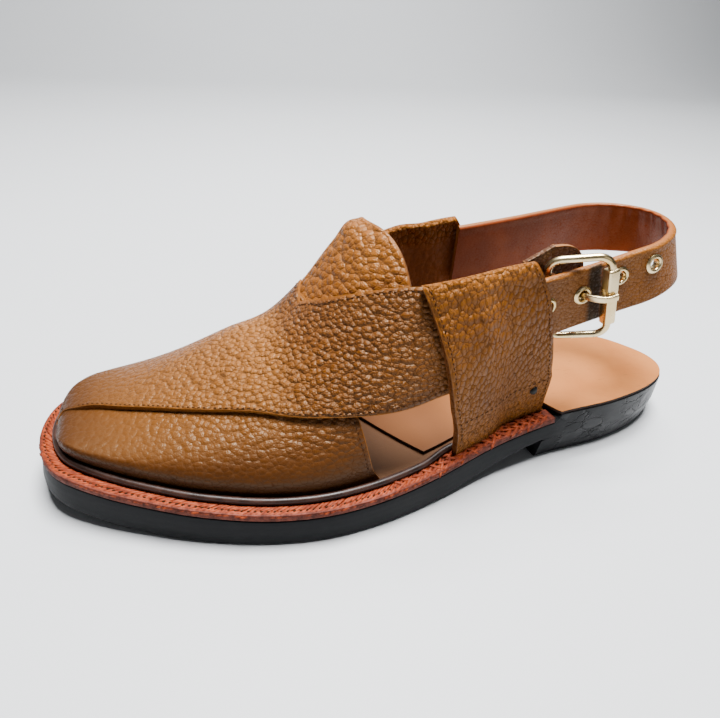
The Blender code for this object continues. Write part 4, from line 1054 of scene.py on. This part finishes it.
# Sling strap: a padded strap that runs from the inner quarter round the heel to the buckle. Its outside
# is the same leather, its lining smooth red-brown leather, and its edges are rolled over a thin foam.
# The lining puckers where it bends round the heel, and a dark band on the outside just before the
# buckle's sleeve is the sleeve's painted shadow.
SLING_FRONT_X, SLING_TAIL_X, SLING_BACK_X = 31.5, 36.0, 89.6
SLING_MIDDLE_Y, SLING_RADIUS, SLING_THICK = 0.6, 25.9, 2.6
SLING_ROWS = np.array((
    (0.00, 91.0, 64.0, 0.0),
    (0.15, 94.5, 68.0, 0.5),
    (0.30, 98.5, 72.5, 3.5),
    (0.42, 101.0, 76.5, 7.0),
    (0.52, 101.8, 80.4, 8.5),
    (0.62, 100.2, 78.8, 7.5),
    (0.72, 96.3, 71.8, 3.0),
    (0.84, 90.8, 64.4, 0.5),
    (1.00, 84.2, 55.6, 0.0),
))
SLING_FIRST, SLING_LAST = SLING_BACK_X - SLING_FRONT_X, SLING_BACK_X - SLING_TAIL_X
SLING_RUN = SLING_FIRST + math.pi * SLING_RADIUS + SLING_LAST
SLING_ROUND, SLING_ROLL, SLING_ROLL_AT, SLING_ROLL_WIDE = 0.055, 0.16, 0.95, 0.045
SLING_GROOVE, SLING_GROOVE_AT, SLING_GROOVE_WIDE = 0.07, 0.84, 0.03
SLING_PUCKER, SLING_PUCKERS, SLING_BEND_AT, SLING_BEND_LONG = 0.30, 0.95, 0.52, 0.13
SLING_PUCKER_HIGH, SLING_PUCKER_DEEP = (0.25, 0.9), (0.55, 1.0)
# The last three place the painted shadow of the buckle's sleeve on the strap.
SLING_ALONG, ROLLER_SHADOW_SLOPE, ROLLER_SHADOW_STARTS, ROLLER_SHADOW_ENDS = 240, (0.970, 0.242), (0.0805, 0.0835), (0.0870, 0.0890)
NO_RIM = 9.0


def sling_face(p, share, depth):
    """Points of the strap: p runs from its inner end to its tail, share from its lower to its upper edge."""
    run = p * SLING_RUN
    angle = math.pi / 2 - np.clip((run - SLING_FIRST) / SLING_RADIUS, 0.0, math.pi)
    out = np.stack([np.cos(angle), np.sin(angle)], -1)
    x = SLING_BACK_X + np.minimum(run - SLING_FIRST, 0.0)
    x = x - np.maximum(run - SLING_FIRST - math.pi * SLING_RADIUS, 0.0)
    top, bottom, flare = [smooth(SLING_ROWS[:, 0], SLING_ROWS[:, i], p) for i in (1, 2, 3)]
    reach = SLING_RADIUS + flare * (1 - share) - depth
    point = np.stack([x, np.full_like(x, SLING_MIDDLE_Y)], -1) + reach[:, None] * out
    return raised(point, lerp(bottom, top, share))


face = np.linspace(SLING_ROUND, 1 - SLING_ROUND, 13)
arc = np.linspace(0.0, math.pi, 9)[1:-1]
curl = SLING_ROUND * np.sin(arc)
sling_high = np.concatenate([face, 1 - SLING_ROUND + curl, face[::-1], SLING_ROUND - curl, face[:1]])
sling_deep = np.concatenate([
    0 * face, 0.5 - 0.5 * np.cos(arc), 0 * face + 1.0, 0.5 + 0.5 * np.cos(arc), [0.0]])
sling_roll = SLING_ROLL * np.exp(-((sling_high - SLING_ROLL_AT) / SLING_ROLL_WIDE) ** 2)
sling_roll = sling_roll - SLING_GROOVE * np.exp(-((sling_high - SLING_GROOVE_AT) / SLING_GROOVE_WIDE) ** 2)
sling_roll = sling_roll * np.cos(math.pi * sling_deep)


def sling_place(a, b):
    index = np.rint(b * (len(sling_high) - 1)).astype(int)
    depth = SLING_THICK * (sling_deep[index] - sling_roll[index])
    bend = np.exp(-((a - SLING_BEND_AT) / SLING_BEND_LONG) ** 2)
    pucker = SLING_PUCKER * bend * np.sin(a * SLING_RUN * SLING_PUCKERS)
    pucker = pucker * ease(*SLING_PUCKER_HIGH, sling_high[index]) * ease(*SLING_PUCKER_DEEP, sling_deep[index])
    return sling_face(a, sling_high[index], depth + pucker)


sling = laid_grid("sling_strap_leather", SLING_ALONG, len(sling_high) - 1, sling_place)
keep(sling, "lining", np.repeat(sling_deep, SLING_ALONG + 1))
keep(sling, "rim_mm", np.full(len(sling_deep) * (SLING_ALONG + 1), NO_RIM))
smooth_faces(close_up(sling, fill=True), 60)

EYELET_ROWS = ((47.2, 1.6), (62.7, 1.4), (78.2, 4.4), (93.2, 4.4))
EYELET_TUBE, HOLE_CLEAR, PUNCH_DEPTH = 2.8, 0.2, 14.0


def eyelet_frame(x, rise):
    """Middle of an eyelet on the strap's outer face, and the outward direction there."""
    p = 1 - (x - SLING_TAIL_X) / SLING_RUN
    if x > SLING_BACK_X:
        arc = math.pi * SLING_RADIUS - SLING_RADIUS * math.asin((x - SLING_BACK_X) / SLING_RADIUS)
        p = (SLING_FIRST + arc) / SLING_RUN
    top, bottom = [float(smooth(SLING_ROWS[:, 0], SLING_ROWS[:, i], np.array([p]))[0]) for i in (1, 2)]
    spots = np.array([p, p - 0.01, p + 0.01, p, p])
    shares = np.array([0.5 + rise / (top - bottom), 0.5, 0.5, 0.8, 0.2])
    middle, ahead, behind, above, below = sling_face(spots, shares, np.zeros(5))
    return middle, unit(np.cross(ahead - behind, above - below))


for row in EYELET_ROWS:
    middle, out = eyelet_frame(*row)
    bpy.ops.object.select_all(action="DESELECT")
    bpy.ops.mesh.primitive_cylinder_add(
        vertices=28, radius=(EYELET_TUBE + HOLE_CLEAR) * MM, depth=PUNCH_DEPTH * MM)
    punch = bpy.context.object
    side = unit(np.cross(up, out))
    turn = Matrix((side, np.cross(out, side), out)).transposed().to_4x4()
    punch.data.transform(Matrix.Translation(middle * MM) @ turn)
    hole = sling.modifiers.new("hole", "BOOLEAN")
    hole.operation, hole.object, hole.solver = "DIFFERENCE", punch, "EXACT"
    make_active(sling)
    bpy.ops.object.modifier_apply(modifier="hole")
    bpy.data.objects.remove(punch)

strap_tan = leather_finish("strap_tan", lit_leather_tones, 760.0, 0.2)
tree = strap_tan.node_tree
shader = tree.nodes["Principled BSDF"]
inside = node(tree, "ShaderNodeAttribute", attribute_name="lining").outputs["Fac"]
where = tree.nodes["Texture Coordinate"].outputs["Object"]
wear = noise(tree, where, 60.0, 4.0)
lining_tone = blended(tree, ranged(tree, wear, 0.3, 0.7), (0.120, 0.017, 0.0022, 1), (0.180, 0.031, 0.0055, 1))
outer_tone = shader.inputs["Base Color"].links[0].from_socket
axes = axes_of(tree, where)
# Painted shadow of the buckle's sleeve: a dark band across the strap's outside just before the sleeve.
slope = total(tree, product(tree, axes["X"], ROLLER_SHADOW_SLOPE[0]), product(tree, axes["Z"], ROLLER_SHADOW_SLOPE[1]))
roller_shadow = product(tree, ranged(tree, slope, *ROLLER_SHADOW_STARTS), ranged(tree, slope, *ROLLER_SHADOW_ENDS, 0.96, 0.0))
roller_shadow = product(tree, roller_shadow, ranged(tree, axes["Y"], -0.02, 0.0, 1.0, 0.0))
outer_tone = blended(tree, roller_shadow, outer_tone, (0.006, 0.002, 0.0006, 1))
tone = blended(tree, ranged(tree, inside, 0.1, 0.4), outer_tone, (0.19, 0.056, 0.008, 1))
feed(tree, shader, Base_Color=blended(tree, ranged(tree, inside, 0.7, 0.95), tone, lining_tone))
relief = tree.nodes["Bump"].inputs["Height"]
flat_grain = product(tree, relief.links[0].from_socket, ranged(tree, inside, 0.05, 0.4, 1.0, 0.15))
tree.links.new(flat_grain, relief)
settle(sling, strap_tan, "upper_tan", "sling_strap")

# Eyelets: brass rings set through the strap, each with a domed flange outside and a tube through the hole.
# They are plated pale gold like the buckle.
EYELET_FLANGE, EYELET_BORE = 3.9, 2.1
buckle_gold, tree, shader, where = new_finish("buckle_gold")
smear = noise(tree, where, 90.0, 4.0, 0.6)
tone = blended(tree, ranged(tree, smear, 0.3, 0.7), (0.60, 0.44, 0.21, 1), (0.76, 0.61, 0.36, 1))
feed(tree, shader, Base_Color=tone, Metallic=1.0, Roughness=ranged(tree, smear, 0.3, 0.75, 0.2, 0.34))
bump(tree, shader, noise(tree, where, 1800.0, 2.0), 0.012)
for i, row in enumerate(EYELET_ROWS):
    middle, out = eyelet_frame(*row)
    profile = (
        (EYELET_BORE, -SLING_THICK), (EYELET_TUBE, -SLING_THICK), (EYELET_TUBE, 0.1), (EYELET_FLANGE, 0.1),
        (EYELET_FLANGE + 0.05, 0.35), (EYELET_FLANGE - 0.3, 0.75), (EYELET_FLANGE - 0.8, 1.05),
        (EYELET_FLANGE - 1.2, 1.05), (EYELET_BORE + 0.2, 0.75), (EYELET_BORE, 0.3),
    )
    settle(turned(f"eyelet_{i + 1}_ring", middle, out, profile), buckle_gold, "buckle_gold", f"eyelet_{i + 1}")

# Buckle: a bent wire frame with rounded corners, plated pale gold. A folded sleeve turns on its rear bar,
# and a flat prong hangs on its front bar, comes out through an eyelet and rests on the sleeve.
BUCKLE_SLOPE, BUCKLE_CENTRE = math.radians(14), (61.4, 76.4)
BUCKLE_LONG, BUCKLE_WIDE, BUCKLE_CORNER, BUCKLE_WIRE = 20.4, 35.0, 4.5, 1.5
ROLLER_HALF, ROLLER_OVAL, ROLLER_LENGTH, ROLLER_OUT, ROLLER_EDGE = 2.3, 1.05, 24.5, 5.1, 0.9
PRONG_WIDE, PRONG_THICK, PRONG_TIP, PRONG_REST = 1.35, 0.95, 0.9, 3.0
PRONG_DEPTH, PRONG_CLEAR, PRONG_DIP = 1.2, 0.1, 0.4
PRONG_INSIDE, PRONG_OUTSIDE = ((-6.0, -0.6), (-2.2, -0.2), (-0.5, 1.2), (0.0, 3.2)), (0.6, 1.9)
CHAPE_LOOP_RADIUS = 3.3
BAR_OUT = -(SLING_THICK + GAP + CHAPE_LOOP_RADIUS)


def buckle_point(along, across, out):
    """Points in the buckle's own frame: along the strap towards the heel, across it upward, outward."""
    along, across, out = np.broadcast_arrays(along, across, out)
    cos, sin = math.cos(BUCKLE_SLOPE), math.sin(BUCKLE_SLOPE)
    x = BUCKLE_CENTRE[0] + along * cos - across * sin
    z = BUCKLE_CENTRE[1] + along * sin + across * cos
    return np.stack([x, SLING_MIDDLE_Y - SLING_RADIUS - out, z], -1)


buckle_along = np.array([math.cos(BUCKLE_SLOPE), 0.0, math.sin(BUCKLE_SLOPE)])
buckle_across = np.array([-math.sin(BUCKLE_SLOPE), 0.0, math.cos(BUCKLE_SLOPE)])
buckle_out = np.array([0.0, -1.0, 0.0])
half_long, half_wide = BUCKLE_LONG / 2, BUCKLE_WIDE / 2
bends = []
for i, (a, b) in enumerate(((1, 1), (-1, 1), (-1, -1), (1, -1))):
    angle = np.radians(np.linspace(90 * i, 90 * (i + 1), 9))
    along = a * (half_long - BUCKLE_CORNER) + BUCKLE_CORNER * np.cos(angle)
    across = b * (half_wide - BUCKLE_CORNER) + BUCKLE_CORNER * np.sin(angle)
    bends.append(buckle_point(along, across, lerp(BAR_OUT, ROLLER_OUT, 0.5 + along / BUCKLE_LONG)))
wire = rounded_section(BUCKLE_WIRE, BUCKLE_WIRE, turns=20)
buckle_frame = swept("buckle_frame_wire", np.concatenate(bends), wire, buckle_out, closed=True)
settle(buckle_frame, buckle_gold, "buckle_gold", "buckle_frame")

bpy.ops.object.select_all(action="DESELECT")
bpy.ops.mesh.primitive_cube_add(size=1.0)
roller = bpy.context.object
roller.name = roller.data.name = "buckle_roller_sleeve"
stand = Matrix((buckle_along, buckle_out, np.cross(buckle_along, buckle_out))).transposed().to_4x4()
size = Matrix.Diagonal((2 * ROLLER_OVAL * ROLLER_HALF * MM, 2 * ROLLER_HALF * MM, ROLLER_LENGTH * MM, 1.0))
spot = buckle_point(half_long, 0.0, ROLLER_OUT) * MM
roller.data.transform(Matrix.Translation(spot) @ stand @ size)
round_edges(roller, ROLLER_EDGE, 30, 4)
settle(smooth_faces(roller), buckle_gold, "buckle_gold", "buckle_roller")

middle, _ = eyelet_frame(*EYELET_ROWS[1])
from_centre = middle - buckle_point(0.0, 0.0, 0.0)
hole, prong_across = float(from_centre @ buckle_along), float(from_centre @ buckle_across)
inside, resting = -(SLING_THICK + GAP + PRONG_DEPTH), ROLLER_OUT + ROLLER_HALF + PRONG_CLEAR + PRONG_THICK
route = [(-half_long + BUCKLE_WIRE + GAP + PRONG_WIDE, BAR_OUT)]
route += [(hole + behind, inside + rise) for behind, rise in PRONG_INSIDE]
route.append((hole + PRONG_OUTSIDE[0], PRONG_OUTSIDE[1]))
route += [(half_long - PRONG_REST, resting - PRONG_DIP), (half_long, resting), (half_long + PRONG_TIP, resting)]
route = np.array(route)
knots = np.concatenate([[0.0], np.cumsum(np.linalg.norm(np.diff(route, axis=0), axis=1))])
fine = np.linspace(0.0, knots[-1], 60)
path = buckle_point(smooth(knots, route[:, 0], fine), prong_across, smooth(knots, route[:, 1], fine))
prong = swept("buckle_prong_bar", path, rounded_section(PRONG_WIDE, PRONG_THICK, 4.0), buckle_across)
settle(prong, buckle_gold, "buckle_gold", "buckle_prong")

# Chape: the tab of brown leather that holds the buckle. It is folded round the front bar in two loops
# beside the prong, and its long rounded end guards the foot from the metal, with stitches along its edge.
CHAPE_THICK, CHAPE_SPAN, CHAPE_ENDS = 2.0, (-14.0, 21.7), (-19.0, 7.7)
CHAPE_ROUNDING, CHAPE_TAPER, CHAPE_LOOP_START, CHAPE_LOOP_LENGTH = 3.5, 0.17, 2.8, 8.0
CHAPE_INNER = BAR_OUT - BUCKLE_WIRE - GAP
CHAPE_SEAM, CHAPE_SEAM_ENDS, CHAPE_STITCH, CHAPE_LOOP_CLEAR = 0.93, (0.08, 0.92), (2.3, 1.5, 0.45), 0.1


def chape_place(a, b):
    side = np.sin(math.pi * (b - 0.5))
    front, rear = CHAPE_ENDS
    reach = (rear - front) * (1 - np.abs(side) ** CHAPE_ROUNDING) ** (1 / CHAPE_ROUNDING)
    along = front + np.maximum(reach, (rear - front) / 2) * a
    width = (CHAPE_SPAN[1] - CHAPE_SPAN[0]) / 2 * (1 - CHAPE_TAPER * (1 - a))
    return buckle_point(along, sum(CHAPE_SPAN) / 2 + width * side, CHAPE_INNER)


chape_tones = (
    (0.010, 0.003, 0.001, 1), (0.050, 0.015, 0.004, 1), (0.075, 0.024, 0.007, 1), (0.22, 0.085, 0.026, 1),
)
chape_brown = leather_finish("lining_brown", chape_tones, 560.0, 0.35)
tab = cut_leather("buckle_chape_tab", 40, 60, chape_place, CHAPE_THICK, -1, 0.5)
settle(tab, chape_brown, "lining_brown", "buckle_chape")
b = np.linspace(*CHAPE_SEAM_ENDS, 200)
path = chape_place(np.full_like(b, CHAPE_SEAM), b) + STITCH_RISE * buckle_out
stitches = stitched("buckle_chape_stitches", path, np.tile(buckle_out, (len(b), 1)), *CHAPE_STITCH)
settle(stitches, thread_dark, "lining_brown")
for i, start in enumerate((-CHAPE_LOOP_START - CHAPE_LOOP_LENGTH, CHAPE_LOOP_START)):
    bore, wall = BUCKLE_WIRE + CHAPE_LOOP_CLEAR, CHAPE_LOOP_RADIUS
    profile = ((bore, 0.0), (wall, 0.0), (wall, CHAPE_LOOP_LENGTH), (bore, CHAPE_LOOP_LENGTH))
    foot = buckle_point(-half_long, start, BAR_OUT)
    loop = turned(f"buckle_chape_loop_{i + 1}", foot, buckle_across, profile, 28)
    keep(loop, "rim_mm", np.full(len(loop.data.vertices), NO_RIM))
    settle(loop, chape_brown, "lining_brown")

# Stage: a wide, matt, pale grey floor that sweeps up behind, a large soft light overhead, a weak fill in
# front, a light on the backdrop, and a camera with a wide lens close to the shoe.
FLOOR_REACH, FLOOR_BACK, FLOOR_BEND, FLOOR_HEIGHT = 4000.0, 1500.0, 1000.0, 3000.0


def floor_place(a, b):
    x = lerp(-FLOOR_REACH, FLOOR_REACH, a)
    run = lerp(-FLOOR_REACH, FLOOR_BACK + FLOOR_BEND * math.pi / 2 + FLOOR_HEIGHT, b)
    turn = np.clip((run - FLOOR_BACK) / FLOOR_BEND, 0.0, math.pi / 2)
    y = np.minimum(run, FLOOR_BACK) + FLOOR_BEND * np.sin(turn)
    z = FLOOR_BEND * (1 - np.cos(turn)) + np.maximum(run - FLOOR_BACK - FLOOR_BEND * math.pi / 2, 0.0)
    return np.stack([x, y, z], -1)


floor = smooth_faces(laid_grid("floor", 4, 160, floor_place), 60)
floor_grey, tree, shader, where = new_finish("floor_grey")
cloud = noise(tree, where, 3.0, 2.0)
tone = blended(tree, cloud, (0.44, 0.452, 0.467, 1), (0.47, 0.479, 0.490, 1))
feed(tree, shader, Base_Color=tone, Roughness=0.6)
floor.data.materials.append(floor_grey)

world = bpy.data.worlds.new("studio")
bpy.context.scene.world = world
world.use_nodes = True
sky = world.node_tree.nodes["Background"].inputs
sky["Color"].default_value, sky["Strength"].default_value = (0.93, 0.96, 1.0, 1), 0.11


def soft_light(name, spot, target, size, power):
    lamp = bpy.data.lights.new(name, "AREA")
    lamp.shape, lamp.size, lamp.energy = "DISK", size, power
    made = bpy.data.objects.new(name, lamp)
    bpy.context.scene.collection.objects.link(made)
    away = unit(np.array(spot) - np.array(target))
    side = unit(np.cross((0.0, 1.0, 0.001), away))
    turn = Matrix((side, np.cross(away, side), away)).transposed().to_4x4()
    made.matrix_world = Matrix.Translation(spot) @ turn


soft_light("overhead", (0.06, 0.08, 1.16), (0.0, 0.0, 0.05), 0.55, 74.0)
soft_light("front_fill", (0.3, -1.1, 0.6), (0.0, 0.0, 0.05), 0.8, 1.3)
soft_light("backdrop", (0.6, 0.9, 1.9), (0.8, 2.4, 0.6), 1.2, 100.0)

EYE = (-0.09184, -0.18758, 0.16546)
YAW, PITCH, ROLL = [math.radians(angle) for angle in (20.99, 31.09, 4.23)]
ahead = np.array([math.sin(YAW) * math.cos(PITCH), math.cos(YAW) * math.cos(PITCH), -math.sin(PITCH)])
right = np.array([math.cos(YAW), -math.sin(YAW), 0.0])
above = np.cross(right, ahead)
level = math.cos(ROLL) * right + math.sin(ROLL) * above
upright = -math.sin(ROLL) * right + math.cos(ROLL) * above
view = bpy.data.cameras.new("camera")
view.lens, view.sensor_width, view.clip_start = 28.0, 36.0, 0.01
camera = bpy.data.objects.new("camera", view)
bpy.context.scene.collection.objects.link(camera)
camera.matrix_world = Matrix.Translation(EYE) @ Matrix((level, upright, -ahead)).transposed().to_4x4()
bpy.context.scene.camera = camera
